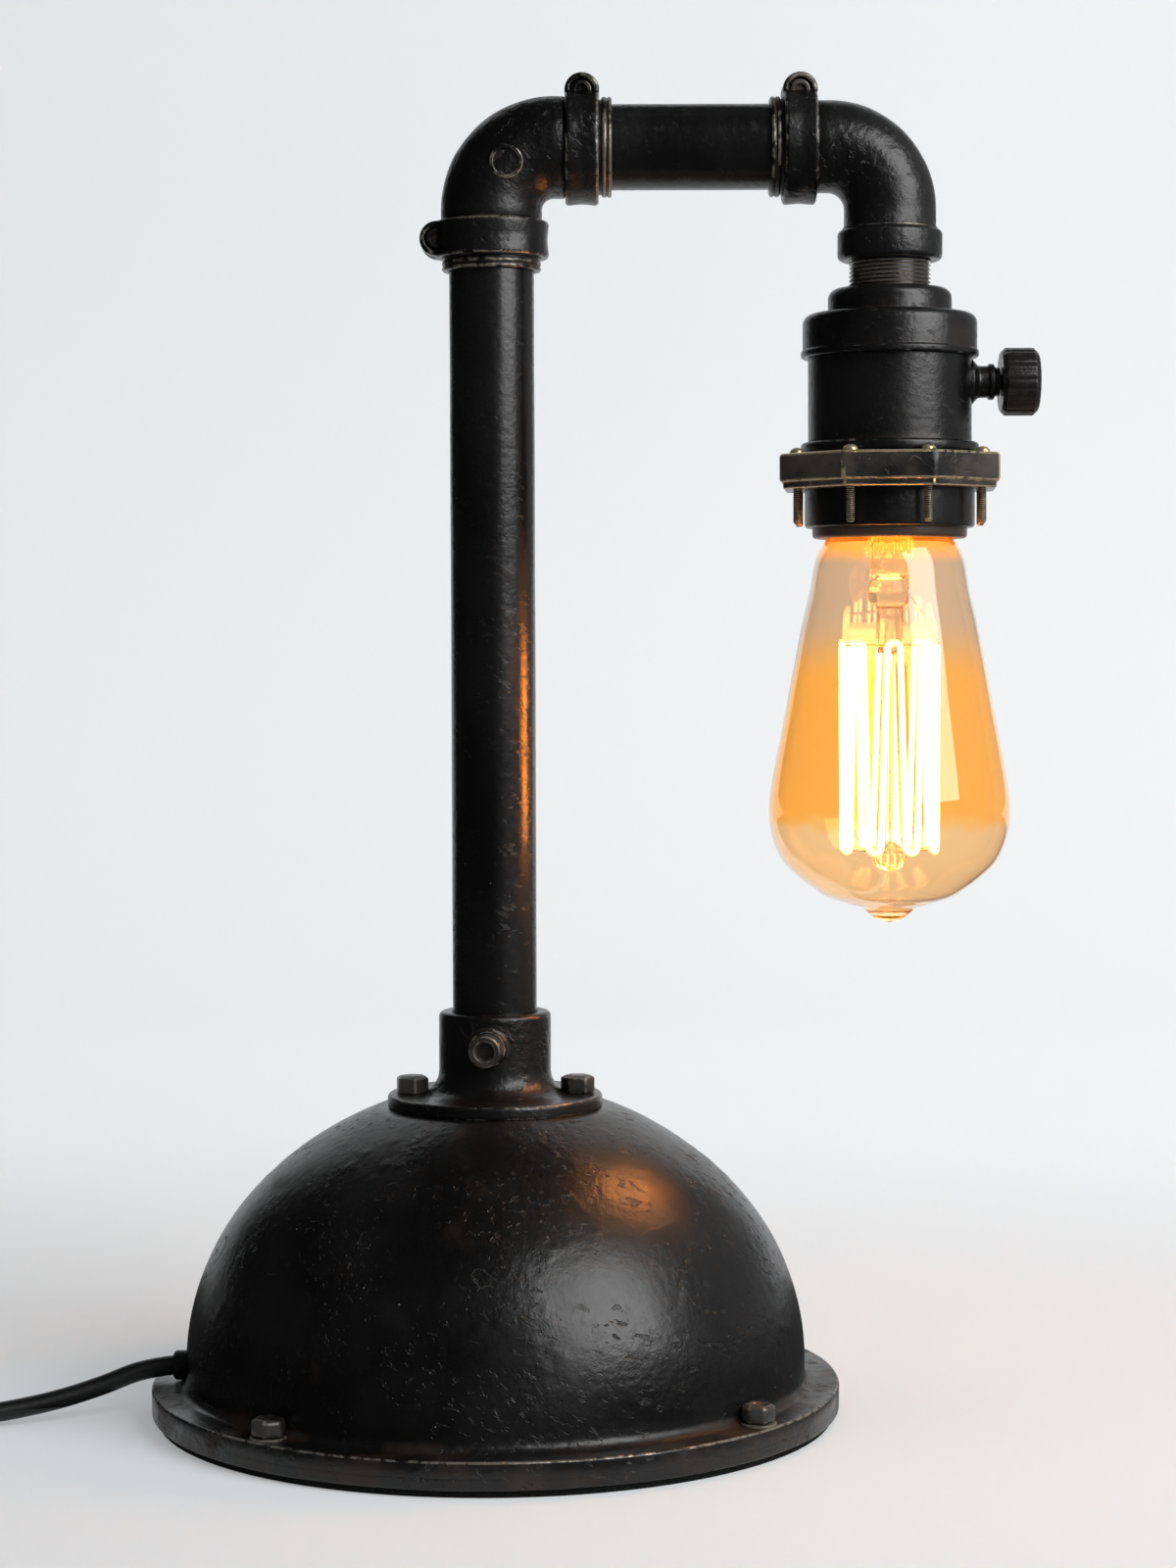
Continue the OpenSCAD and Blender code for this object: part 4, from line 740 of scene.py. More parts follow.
def mark_edges(bm, worn_from):
    """Writes from 0 to 1 how far a vertex is on an edge over a height (wear) or in a corner (hollow)."""
    wear = bm.verts.layers.float.new("wear")
    hollow = bm.verts.layers.float.new("hollow")
    bm.normal_update()
    for v in bm.verts:
        bend = 0.0
        for e in v.link_edges:
            step = e.other_vert(v).co - v.co
            bend -= 2 * step.dot(v.normal) / max(step.length_squared, 1e-10)
        bend *= MM / max(len(v.link_edges), 1)
        v[wear] = min(max((bend - WEAR_FROM) * WEAR_GAIN, 0), 1) * (v.co.z > worn_from)
        v[hollow] = min(max((-bend - HOLLOW_FROM) * HOLLOW_GAIN, 0), 1)
    for _ in range(2):
        means = [sum(e.other_vert(v)[hollow] for e in v.link_edges) / max(len(v.link_edges), 1)
                 for v in bm.verts]
        for v, mean in zip(bm.verts, means):
            v[hollow] = max(v[hollow], mean)


def mesh_of(name, bm):
    """Mesh with smooth faces, which uses up its maker."""
    mesh = bpy.data.meshes.new(name)
    bm.to_mesh(mesh)
    bm.free()
    mesh.shade_smooth()
    return mesh


def linked(name, data):
    """New object in the scene."""
    obj = bpy.data.objects.new(name, data)
    bpy.context.scene.collection.objects.link(obj)
    return obj


def rides(obj, body, slot, *nodes):
    """Puts a piece on a body, with the CAD nodes that it stands for; its slot is not used."""
    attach(obj, body)
    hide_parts(*nodes)
    return obj


def piece(name, bm, body, slot, node, crisp=38, cast=None, worn_from=0.0):
    """Ends a mesh as a piece of the lamp, with the waves of its cast and the marks of its edges."""
    if cast:
        roughen(bm, *CASTS[cast])
    bmesh.ops.recalc_face_normals(bm, faces=bm.faces)
    mark_edges(bm, worn_from)
    mesh = mesh_of(name, bm)
    mesh.set_sharp_from_angle(angle=math.radians(crisp))
    mesh.materials.append(finish(slot))
    return rides(linked(name, mesh), body, slot, node)


def turned(name, body, slot, node, outline, place=Matrix(), steps=96, closed=True, **ending):
    """Piece that is one lathed outline."""
    bm = bmesh.new()
    lathe(bm, outline, place, steps, closed)
    return piece(name, bm, body, slot, node, **ending)


def fused(bm, voxel, smooth):
    """One skin over overlapping shapes, with soft creases as a casting has."""
    bmesh.ops.recalc_face_normals(bm, faces=bm.faces)
    mesh = mesh_of("fuse", bm)
    obj = linked("fuse", mesh)
    skin = obj.modifiers.new("skin", "REMESH")
    skin.mode = "VOXEL"
    skin.voxel_size = voxel
    soft = obj.modifiers.new("soft", "SMOOTH")
    soft.factor = 0.5
    soft.iterations = smooth
    result = bmesh.new()
    result.from_mesh(obj.evaluated_get(bpy.context.evaluated_depsgraph_get()).to_mesh())
    bpy.data.objects.remove(obj)
    bpy.data.meshes.remove(mesh)
    return result


def round_line(name, way, radius, fineness):
    """Round curve along a way of points."""
    curve = bpy.data.curves.new(name, "CURVE")
    curve.dimensions = "3D"
    curve.bevel_depth = radius
    curve.bevel_resolution = fineness
    curve.use_fill_caps = True
    line = curve.splines.new("POLY")
    line.points.add(len(way) - 1)
    for point, place in zip(line.points, way):
        point.co = (*place, 1)
    line.use_smooth = True
    return curve


# Stage

PAPER_HALF = 3.5
PAPER_BEND = 0.9
PAPER_TOP = 3.0
TENT_R = 1.95
TENT_FOOT = (0.10, 0.004)
TENT_START = 1.0
LID_FROM, LID_TO = 52, 88
WALL_TURN, LID_TURN = 295, 360
KEY_SIZE = (1.0, 1.05)
KEY_AT = Vector((0.94, -0.84, 0.86))
KEY_AIM = Vector((0.03, 0, 0.19))


class LAMP_OT_stage(bpy.types.Operator):
    """Paper sweep, soft box, dark tent, world and camera"""

    bl_idname = "lamp.stage"
    bl_label = "Stage"

    def execute(self, context):
        setting = context.scene.lamp_stage
        self.camera(context.scene, setting)
        self.sweep(setting)
        self.tent()
        self.key(setting)
        self.world(context.scene, setting)
        context.scene.view_settings.view_transform = "Standard"
        return {"FINISHED"}

    def camera(self, scene, setting):
        data = bpy.data.cameras.new("camera")
        data.lens = setting.lens
        data.clip_start = 0.01
        scene.camera = linked("camera", data)
        pitch = Matrix.Rotation(math.radians(90) - setting.pitch, 4, "X")
        tilt = pitch @ Matrix.Rotation(setting.roll, 4, "Z")
        scene.camera.matrix_world = Matrix.Translation(setting.camera_at) @ tilt

    def staged(self, name, bm, material):
        """Ends a mesh as a thing of the stage."""
        mesh = mesh_of(name, bm)
        mesh.materials.append(material)
        obj = linked(name, mesh)
        return obj

    def sweep(self, setting):
        """Sheet of paper on the floor that bends up behind the lamp."""
        side = [(-PAPER_HALF, 0.0), (PAPER_BEND, 0.0)]
        side += arc((PAPER_BEND, PAPER_BEND), PAPER_BEND, -90, 0, 16)[1:] + [(2 * PAPER_BEND, PAPER_TOP)]
        bm = bmesh.new()
        edges = strung(bm, [(-PAPER_HALF, y, z) for y, z in side], False)[1]
        made = bmesh.ops.extrude_edge_only(bm, edges=edges)["geom"]
        bmesh.ops.translate(bm, vec=(2 * PAPER_HALF, 0, 0), verts=only(made, BMVert))
        self.staged("paper", bm, self.paper(setting))

    def paper(self, setting):
        """Pale paper, part of it shown without shade, brighter to the right and to the back."""
        paint = Paint(bpy.data.materials.new("paper"))
        x, y, z = (paint.axis(name) for name in "XYZ")
        # Painted light: the shadeless part of the paper is an emission, painted brighter to the right and to
        # the back and dimmer up the wall.
        back = paint.band(y, 0.0, 0.55) * 0.68 + paint.band(y, 0.45, 0.8) * 0.12
        wall = paint.band(z, 0.1, 0.6) * 0.09
        level = paint.band(x, -0.6, 0.7) * 0.24 + back - wall + 0.69
        matt = paint.node("ShaderNodeBsdfDiffuse", {"Color": opaque(setting.paper)})
        even = paint.node("ShaderNodeEmission", {"Color": (1.0, 0.992, 0.988, 1.0), "Strength": level})
        inputs = {0: paint.seen() * setting.even, 1: matt, 2: even}
        return paint.end(paint.node("ShaderNodeMixShader", inputs))

    def tent(self):
        """Dark tent with a lid, open at the back and black at the left. Only mirrors and glass show it."""
        paint = Paint(bpy.data.materials.new("tent"))
        # Painted reflection: the tent's emission shows in mirrors and glass as a dark room, near black at
        # the left, lighter to the right and lighter again through glass.
        level = paint.band(paint.axis("X"), -0.3, 1.7) * 0.32
        level = level + paint.light("Is Transmission Ray") * 0.30 + 0.022
        dim = paint.node("ShaderNodeEmission", {"Color": (0.97, 0.98, 1.0, 1.0), "Strength": level})
        bm = bmesh.new()
        wall = [TENT_FOOT] + arc((0, 0), TENT_R, 1, LID_FROM, 6)
        lid = arc((0, 0), TENT_R, LID_FROM, LID_TO, 6)
        side, depth = -math.cos(TENT_START), math.sin(TENT_START)
        for line, turn in ((wall, WALL_TURN), (lid, LID_TURN)):
            verts, edges = strung(bm, [(x * side, x * depth, z) for x, z in line], False)
            bmesh.ops.spin(bm, geom=verts + edges, cent=(0, 0, 0), axis=UP, angle=math.radians(turn),
                           steps=40)
        tent = self.staged("tent", bm, paint.end(dim))
        tent.visible_camera = tent.visible_diffuse = tent.visible_shadow = False

    def key(self, setting):
        """Tall soft box at the right front."""
        data = bpy.data.lights.new("key", "AREA")
        data.energy = setting.key
        data.shape = "RECTANGLE"
        data.size, data.size_y = KEY_SIZE
        obj = linked("key", data)
        aim = (KEY_AIM - KEY_AT).to_track_quat("-Z", "Y").to_matrix().to_4x4()
        obj.matrix_world = Matrix.Translation(KEY_AT) @ aim
        obj.visible_camera = False

    def world(self, scene, setting):
        paint = Paint(bpy.data.worlds.new("studio"), "Generated")
        level = paint.seen() * (setting.pale - setting.room) + setting.room
        sky = paint.node("ShaderNodeBackground", {"Color": (0.96, 0.98, 1.0, 1.0), "Strength": level})
        scene.world = paint.end(sky, "ShaderNodeOutputWorld")


# Cord

LEAD_POINTS = [(-95, -6, 12), (-104, -8.5, 9), (-114, -11.5, 6.3), (-124, -14.5, 4.5), (-134, -17.5, 3.4),
               (-146, -21.5, 2.8), (-160, -27, 2.9)]
TAIL_POINTS = [(-245.5, 18, 8.6), (-245.5, 33, 7.8), (-242.5, 46, 7.2), (-234.5, 56.5, 6.8),
               (-223, 61.5, 6.6)]
COIL_CENTRE = Vector((-202 * MM, 1 * MM, 0))
COIL_START, COIL_END = -62, -180
COIL_POINTS = 28
# Part of a turn over which the coil goes from inwards to outwards
COIL_EASE = 0.25
PLUG_NOSE = Vector((PLUG.low.x, PLUG.mid.y, PLUG.mid.z))
PLUG_RIBS = 4
RIB_STEP = 3.4 * MM
GRIPS = 5
TIE_HALF = 2 * MM


class LAMP_OT_cord(bpy.types.Operator):
    """Cord with its coil, bushing, tie and plug"""

    bl_idname = "lamp.cord"
    bl_label = "Cord"

    def execute(self, context):
        size = context.scene.lamp_cord
        out = -spoke(size.exit_az)
        dome_r = context.scene.lamp_base.dome_r
        leave = out * (dome_r + size.nose) + UP * size.exit_z
        plug = self.plug(size)
        blades = self.blades()
        tie = self.tie(size)
        way = self.way(size, leave, out)
        curve = round_line("cord", way, size.diameter / 2, 4)
        curve.materials.append(finish("cord"))
        cord = rides(linked("cord", curve), "base", "cord", "cord_lead", "cord_coil", "cord_tail")
        self.bushing(size, at(out * dome_r + UP * size.exit_z, out))
        run = sum((b - a).length for a, b in zip(way, way[1:]))
        return {"FINISHED"}

    def coil(self, size):
        """Points in on the lower layer and out again on the upper one."""
        span = size.coil_turns + (COIL_START - COIL_END) / 360
        steps = round(COIL_POINTS * span)
        points = []
        for i in range(steps + 1):
            t = span * i / steps
            off = abs(t - span / 2)
            eased = off if off > COIL_EASE else (off * off + COIL_EASE ** 2) / (2 * COIL_EASE)
            radius = size.coil_in_r + size.coil_step * (eased - COIL_EASE / 2)
            k = min(max((t - span / 2) * 2 + 0.5, 0), 1)
            z = size.coil_low + (size.coil_high - size.coil_low) * k * k * (3 - 2 * k)
            points.append(COIL_CENTRE + spoke(math.radians(COIL_START - 360 * t)) * radius + UP * z)
        return points

    def way(self, size, leave, out):
        """Points of the whole cord, from inside the bushing to inside the plug."""
        coil = self.coil(size)
        start = coil[0] - (coil[1] - coil[0]).normalized() * size.diameter
        end = coil[-1] + (coil[-1] - coil[-2]).normalized() * size.diameter
        lead, tail = ([Vector(p) * MM for p in points] for points in (LEAD_POINTS, TAIL_POINTS))
        lead = through([leave - out * 6 * MM, leave] + lead + [start, coil[0]])
        tail = through([coil[-1], end] + tail + [PLUG_NOSE, PLUG_NOSE + RIGHT * 3 * MM])
        return lead[:-1] + coil + tail[1:]

    def bushing(self, size, place):
        """Collar in the dome's wall, thick on both sides of it."""
        r = size.diameter / 2
        turned("bushing", "base", "cord", "cord_bushing", rounded([
            (r, -6.2 * MM), (r + 1.9 * MM, -6.2 * MM, 0.4 * MM), (r + 1.9 * MM, -4.3 * MM, 0.4 * MM),
            (r + 0.7 * MM, -4.3 * MM), (r + 0.7 * MM, 0), (r + 1.3 * MM, 0),
            (r + 1.3 * MM, 2.9 * MM, 0.9 * MM), (r + 0.45 * MM, size.nose, 0.3 * MM), (r, size.nose)]),
            place, 40)

    def tie(self, size):
        """Flat strip round all turns of the coil, with its end folded over."""
        middle = math.radians((COIL_START + COIL_END) / 2)
        across = spoke(middle)
        corners = (Vector((v.co.x, v.co.y, 0)) for v in frame["nodes"]["cord_tie"].data.vertices)
        reach = [(corner - COIL_CENTRE).dot(across) for corner in corners]
        low, high, top = min(reach), max(reach), TIE.high.z

        def loop(t, fillet):
            spots = (low + t, t), (high - t, t), (high - t, top - t), (low + t, top - t)
            return rounded([(x, z, fillet) for x, z in spots])

        outer, inner = loop(0, 3 * MM), loop(size.tie_t, 2.4 * MM)
        bm = bmesh.new()
        sides = ((outer, -TIE_HALF), (outer, TIE_HALF), (inner, TIE_HALF), (inner, -TIE_HALF))
        loops = [strung(bm, [(x, y, z) for x, z in points])[1] for points, y in sides]
        for first, second in zip(loops, loops[1:] + loops[:1]):
            bmesh.ops.bridge_loops(bm, edges=first + second)
        knot = at(((low + high) / 2, 0, top - size.tie_t))
        block(bm, (7 * MM, 5 * MM, 1 * MM), 0.35 * MM, knot)
        place = Matrix.Translation(COIL_CENTRE) @ Matrix.Rotation(middle, 4, "Z")
        bmesh.ops.transform(bm, matrix=place, verts=bm.verts)
        return piece("cord_tie_strip", bm, "base", "tie", "cord_tie")

    def plug(self, size):
        """Flat plug: a ribbed nose on the cord, a body drawn in towards it and grips on its sides."""
        bm = bmesh.new()
        r = size.diameter / 2
        nose = [(r - 0.2 * MM, 0), (r + 1.2 * MM, 0)]
        for i in range(PLUG_RIBS):
            high, low = r + 1.6 * MM + 0.3 * MM * i, r + 0.9 * MM + 0.3 * MM * i
            ribs = (high, 1 * MM), (high, 2.2 * MM), (low, 2.5 * MM), (low, RIB_STEP)
            nose += [(across, RIB_STEP * i + along) for across, along in ribs]
        nose += [(r + 2.6 * MM, size.plug_nose + 2 * MM), (r - 0.2 * MM, size.plug_nose + 2 * MM)]
        lathe(bm, nose, at(PLUG_NOSE, RIGHT), 32)
        body_l = PLUG.high.x - PLUG.low.x - size.plug_nose
        middle = PLUG_NOSE + RIGHT * (size.plug_nose + body_l / 2)
        for v in block(bm, (body_l, PLUG.half.y * 2, PLUG.half.z * 2), 2.6 * MM, at(middle), 5):
            back = (PLUG.high.x - v.co.x) / body_l
            v.co.y = PLUG.mid.y + (v.co.y - PLUG.mid.y) * (1 - 0.28 * max(back - 0.45, 0) / 0.55)
        for i in range(GRIPS):
            for side in (-1, 1):
                along, across = (5 + 2.2 * i) * MM, side * (PLUG.half.y - 0.25 * MM)
                grip = (PLUG.high.x - along, PLUG.mid.y + across, PLUG.mid.z)
                block(bm, (1.1 * MM, 0.9 * MM, PLUG.half.z * 1.1), 0.4 * MM, at(grip))
        return piece("plug", bm, "base", "plug", "plug_body")

    def blades(self):
        """Two flat contacts with rounded edges."""
        bm = bmesh.new()
        thick = 1.5 * MM
        for side in (-1, 1):
            place = (BLADES.mid.x, BLADES.mid.y + side * (BLADES.half.y - thick / 2), BLADES.mid.z)
            block(bm, (BLADES.half.x * 2, thick, BLADES.half.z * 2), 0.45 * MM, at(place))
        return piece("plug_contacts", bm, "base", "brass", "plug_blades")


# Base

SMOOTH_STEPS = 384
BASE_BOLTS = 4


class LAMP_OT_base(bpy.types.Operator):
    """Felt foot, plate and cast dome"""

    bl_idname = "lamp.base"
    bl_label = "Base"

    def execute(self, context):
        r, top = PAD.half.x, PAD.high.z
        turned("foot_felt", "base", "felt", "foot_pad",
               rounded([(0, 0), (r, 0, 0.4 * MM), (r, top, 0.4 * MM), (0, top)]), closed=False)
        r, low, top = DOME.half.x, PLATE.low.z, PLATE.high.z
        turned("closing_plate", "base", "steel_plate", "base_plate",
               rounded([(0, low), (r, low, 0.6 * MM), (r, top, 0.03 * MM), (0, top)]), steps=SMOOTH_STEPS,
               closed=False, cast="dome", worn_from=top)
        turned("dome", "base", "cast_iron", "base_dome", self.outline(context.scene.lamp_base),
               steps=SMOOTH_STEPS, cast="dome", worn_from=DOME.low.z + 1 * MM)
        return {"FINISHED"}

    def outline(self, size):
        """Flange, fillet, shoulder, crown and flat, then back inside."""
        edge, foot, top = DOME.half.x, DOME.low.z, DOME.high.z
        ceiling = top - size.top_wall
        inset = size.dome_r - size.shoulder_r
        crown_z = size.spring_z - math.sqrt((size.crown_r - size.shoulder_r) ** 2 - inset ** 2)
        turn = math.degrees(math.atan2(size.spring_z - crown_z, inset))
        flat = math.degrees(math.asin((top - crown_z) / size.crown_r))
        low = math.degrees(math.asin((ceiling - crown_z) / (size.crown_r - size.wall)))
        rim = rounded([(size.dome_r - size.wall, foot), (edge, foot, 0.03 * MM),
                       (edge, size.rim_top, 0.7 * MM), (size.dome_r, size.rim_top, size.fillet),
                       (size.dome_r, size.spring_z)])
        shoulder = arc((inset, size.spring_z), size.shoulder_r, 0, turn, 64)
        crown = arc((0, crown_z), size.crown_r, turn, flat, 32)
        inside = arc((0, crown_z), size.crown_r - size.wall, low, turn)
        lower = arc((inset, size.spring_z), size.shoulder_r - size.wall, turn, 0)
        hole = [(size.lead_hole, top), (size.lead_hole, ceiling)]
        return rim[:-1] + shoulder + crown[1:] + hole + inside + lower[1:]


class LAMP_OT_base_bolts(bpy.types.Operator):
    """Hexagon bolts with washers round the base and on the floor flange"""

    bl_idname = "lamp.base_bolts"
    bl_label = "Base bolts"

    def execute(self, context):
        size = context.scene.lamp_base
        r, h, bore = size.washer_r, size.washer_h, 2.6 * MM
        ring = rounded([(bore, 0), (r, 0, 0.2 * MM), (r, h, 0.25 * MM), (bore, h)])
        washers, bolts = bmesh.new(), bmesh.new()
        for i in range(BASE_BOLTS):
            turn = size.bolt_az - math.pi / 2 + math.tau * i / BASE_BOLTS
            place = spoke(turn) * (DOME.half.x - size.bolt_edge) + UP * (size.rim_top - 0.3 * MM)
            lathe(washers, ring, at(place), 40)
            spin = Matrix.Rotation(turn + 0.35 * i, 4, "Z")
            hex_head(bolts, size.hex_flats, size.hex_h, at(place + UP * h) @ spin, 0.16, -0.10)
        piece("base_washer_rings", washers, "base", "fasteners", "base_washers")
        piece("base_hex_bolts", bolts, "base", "fasteners", "base_bolts")
        bolts = bmesh.new()
        r, low, high = 2.4 * MM, -14 * MM, 0.5 * MM
        stud = rounded([(0, low), (r, low, 0.4 * MM), (r, high), (0, high)])
        for side, spin in ((-1, 0.2), (1, 0.5)):
            place = at((side * size.flange_bolt_x, 0, DOME.high.z + size.flange_h))
            hex_head(bolts, size.hex_flats, size.hex_h, place @ Matrix.Rotation(spin, 4, "Z"))
            lathe(bolts, stud, place, 32, closed=False)
        piece("flange_hex_bolts", bolts, "base", "fasteners", "flange_bolts")
        return {"FINISHED"}


class LAMP_OT_floor_flange(bpy.types.Operator):
    """Floor flange with its hub, and the screw that holds the post"""

    bl_idname = "lamp.floor_flange"
    bl_label = "Floor flange"

    def execute(self, context):
        size = context.scene.lamp_base
        foot, top, edge, hub = FLANGE.low.z, FLANGE.high.z, FLANGE.half.x, size.hub_r
        face_z, floor_z = foot + size.flange_h, foot + 3 * MM
        bore, lead = PIPE_R + SEAT, 9 * MM
        bm = bmesh.new()
        lathe(bm, rounded([(lead, foot), (edge, foot, 0.5 * MM), (edge, face_z, 0.9 * MM),
                           (hub, face_z, size.hub_cove), (hub, top, 1.3 * MM), (bore, top, 0.5 * MM),
                           (bore, floor_z), (lead, floor_z)]), steps=128)
        face = Vector((-math.sin(size.screw_az), -math.cos(size.screw_az), 0))
        height = UP * (foot + size.screw_rise)
        head, rise, hole = size.screw_head_r, 1 * MM, 2.8 * MM
        lathe(bm, rounded([(hole, -3 * MM), (head + 1.2 * MM, -3 * MM), (head + 0.6 * MM, rise, 0.4 * MM),
                           (hole, rise)]), at(face * hub + height, face), 48)
        bm = fused(bm, 0.42 * MM, 3)
        piece("post_flange", bm, "base", "cast_iron", "floor_flange", crisp=60, cast="flange")
        bm = bmesh.new()
        socket_head(bm, head, size.screw_head_h, 4.5 * MM, at(face * (hub + rise) + height, face))
        piece("post_set_screw", bm, "base", "fasteners", "post_screw")
        return {"FINISHED"}


# Pipes and elbows

THREAD_STEPS = 48
THREAD_TURNS = 8
BEND_STEPS = 28
BORE_STEPS = 12
# Turn of the raised ring round the post elbow's bend
MARK_AT = math.radians(138)


class LAMP_OT_pipes(bpy.types.Operator):
    """Post, arm and threaded nipple"""

    bl_idname = "lamp.pipes"
    bl_label = "Pipes"

    def execute(self, context):
        self.tube("post", "base", "post_pipe", POST.high.z - POST.low.z, at((0, 0, POST.low.z)), 90)
        self.tube("arm", "tube", "arm_pipe", ARM.high.x - ARM.low.x, at((ARM.low.x, 0, ARM_Z), RIGHT), 36)
        self.nipple(context.scene.lamp_holder.thread_pitch)
        return {"FINISHED"}

    def tube(self, name, body, node, run, place, rows):
        """Pipe with rows of points along it, for the waves of its skin."""
        wall = [(PIPE_R, run * i / rows) for i in range(rows + 1)]
        turned(name, body, "pipe", node, wall + [(PIPE_BORE, run), (PIPE_BORE, 0)], place, 112, cast="pipe")

    def nipple(self, pitch):
        """Plain core with a helical thread wound round what shows of it."""
        foot, top, r = NIPPLE.low.z, NIPPLE.high.z, NIPPLE.half.x
        bore, core = r - 2.4 * MM, r - 0.55 * MM
        bm = bmesh.new()
        lathe(bm, [(bore, 0), (core, 0), (core, top - foot), (bore, top - foot)], at((HEAD_X, 0, foot)), 72)
        start = CAP.high.z - 1.2 * MM
        root, flank = core - 0.2 * MM, r - 0.12 * MM
        ridge = [(root, 0.10), (flank, 0.38), (r, 0.5), (flank, 0.62), (root, 0.90)]
        verts, edges = strung(bm, [(HEAD_X + across, 0, start + pitch * along) for across, along in ridge])
        wound = bmesh.ops.spin(bm, geom=verts + edges, cent=(HEAD_X, 0, 0), axis=UP,
                               angle=math.tau * THREAD_TURNS, steps=THREAD_STEPS * THREAD_TURNS,
                               dvec=(0, 0, pitch / THREAD_STEPS))["geom_last"]
        bmesh.ops.contextual_create(bm, geom=edges)
        bmesh.ops.contextual_create(bm, geom=only(wound, BMEdge))
        piece("threaded_nipple", bm, "head", "pipe", "nipple")


class LAMP_OT_elbows(bpy.types.Operator):
    """Cast elbows over the post and over the lamp holder"""

    bl_idname = "lamp.elbows"
    bl_label = "Elbows"

    def execute(self, context):
        size = context.scene.lamp_elbows
        self.post_elbow(size)
        self.head_elbow(size)
        return {"FINISHED"}

    def leg(self, size, start, way, body, clamp_w):
        """Rings of a leg from its bend outwards: neck, socket, groove, lip, then back along the bore."""
        bore = PIPE_R + ROOM
        neck, socket = size.neck, size.socket_r
        groove, lip = socket - 0.5 * MM, socket + 0.15 * MM
        end = neck + clamp_w + size.groove + size.lip
        lip_at = end - size.lip
        steps = [(body, 0), (body, neck - 0.7 * MM), (body - 0.2 * MM, neck - 0.2 * MM), (socket, neck),
                 (socket, lip_at - size.groove), (groove, lip_at - size.groove), (groove, lip_at),
                 (lip - 0.35 * MM, lip_at), (lip, lip_at + 0.35 * MM), (lip, end - size.lip * 0.62),
                 (lip - 0.3 * MM, end - size.lip * 0.52), (lip - 0.3 * MM, end - size.lip * 0.42),
                 (lip, end - size.lip * 0.32), (lip, end - 0.4 * MM), (lip - 0.35 * MM, end), (bore, end),
                 (bore, neck * 0.4)]
        return [(start + way * along, way, radius) for radius, along in steps]

    def bend(self, size, centre, radius, start, end, steps):
        """Rings round a quarter bend in the plane of the lamp."""
        rings = []
        for i in range(steps + 1):
            turn = math.radians(start + (end - start) * i / steps)
            out = Vector((math.cos(turn), 0, math.sin(turn)))
            way = Vector((-out.z, 0, out.x)) * (1 if end > start else -1)
            rings.append((centre + out * size.bend_r, way, radius))
        return rings

    def tube(self, bm, size, first, centre, radius, start, end, last):
        """A leg backwards to the bend, the bend, the other leg, and back through the bore."""
        outside = self.bend(size, centre, radius, start, end, BEND_STEPS)[1:-1]
        inside = self.bend(size, centre, PIPE_BORE, end, start, BORE_STEPS)
        back, bore = ([(p, -w, r) for p, w, r in rings] for rings in (first[::-1], inside))
        ring_tube(bm, back + outside + last + bore)

    def post_elbow(self, size):
        centre = Vector((size.bend_r, 0, ARM_Z - size.bend_r))
        down = self.leg(size, Vector((0, 0, centre.z)), -UP, size.post_r,
                        POST_CLAMP.high.z - POST_CLAMP.low.z)
        out = self.leg(size, Vector((size.bend_r, 0, ARM_Z)), RIGHT, size.post_r,
                       ARM_CLAMP.high.x - ARM_CLAMP.low.x)
        bm = bmesh.new()
        self.tube(bm, size, down, centre, size.post_r, 180, 90, out)
        spot = centre + Vector((math.cos(MARK_AT), 0, math.sin(MARK_AT))) * size.bend_r
        r, high = size.mark_r, 0.75 * MM
        lathe(bm, rounded([(0, -1 * MM), (r, -1 * MM), (r, high, 0.3 * MM), (r - 0.9 * MM, high, 0.3 * MM),
                           (r - 1.2 * MM, 0.28 * MM, 0.2 * MM), (0, 0.40 * MM)], 4),
              at(spot + FRONT * (size.post_r - 0.55 * MM), FRONT), 48, closed=False)
        piece("post_bend", bm, "arm", "cast_iron", "post_elbow", crisp=50, cast="elbow")

    def head_elbow(self, size):
        end = HEAD_ELBOW.low.z
        neck_z = end + size.bead
        bore, edge = NIPPLE.half.x + SEAT, 1.5 * MM
        centre = Vector((HEAD_X - size.bend_r, 0, ARM_Z - size.bend_r))
        back = self.leg(size, Vector((centre.x, 0, ARM_Z)), -RIGHT, size.head_r,
                        HEAD_CLAMP.high.x - HEAD_CLAMP.low.x)
        bead = [(size.head_r, centre.z), (size.head_r, neck_z + 0.9 * MM),
                (size.head_r + 0.5 * MM, neck_z + 0.25 * MM)]
        bead += arc((size.bead_r - edge, neck_z - edge), edge, 80, 0, 5)
        bead += arc((size.bead_r - edge, end + edge), edge, 0, -90, 5) + [(bore, end), (bore, neck_z)]
        down = [(Vector((HEAD_X, 0, z)), -UP, radius) for radius, z in bead]
        bm = bmesh.new()
        self.tube(bm, size, back, centre, size.head_r, 90, 0, down)
        piece("head_bend", bm, "head", "cast_iron", "head_elbow", crisp=50, cast="elbow")


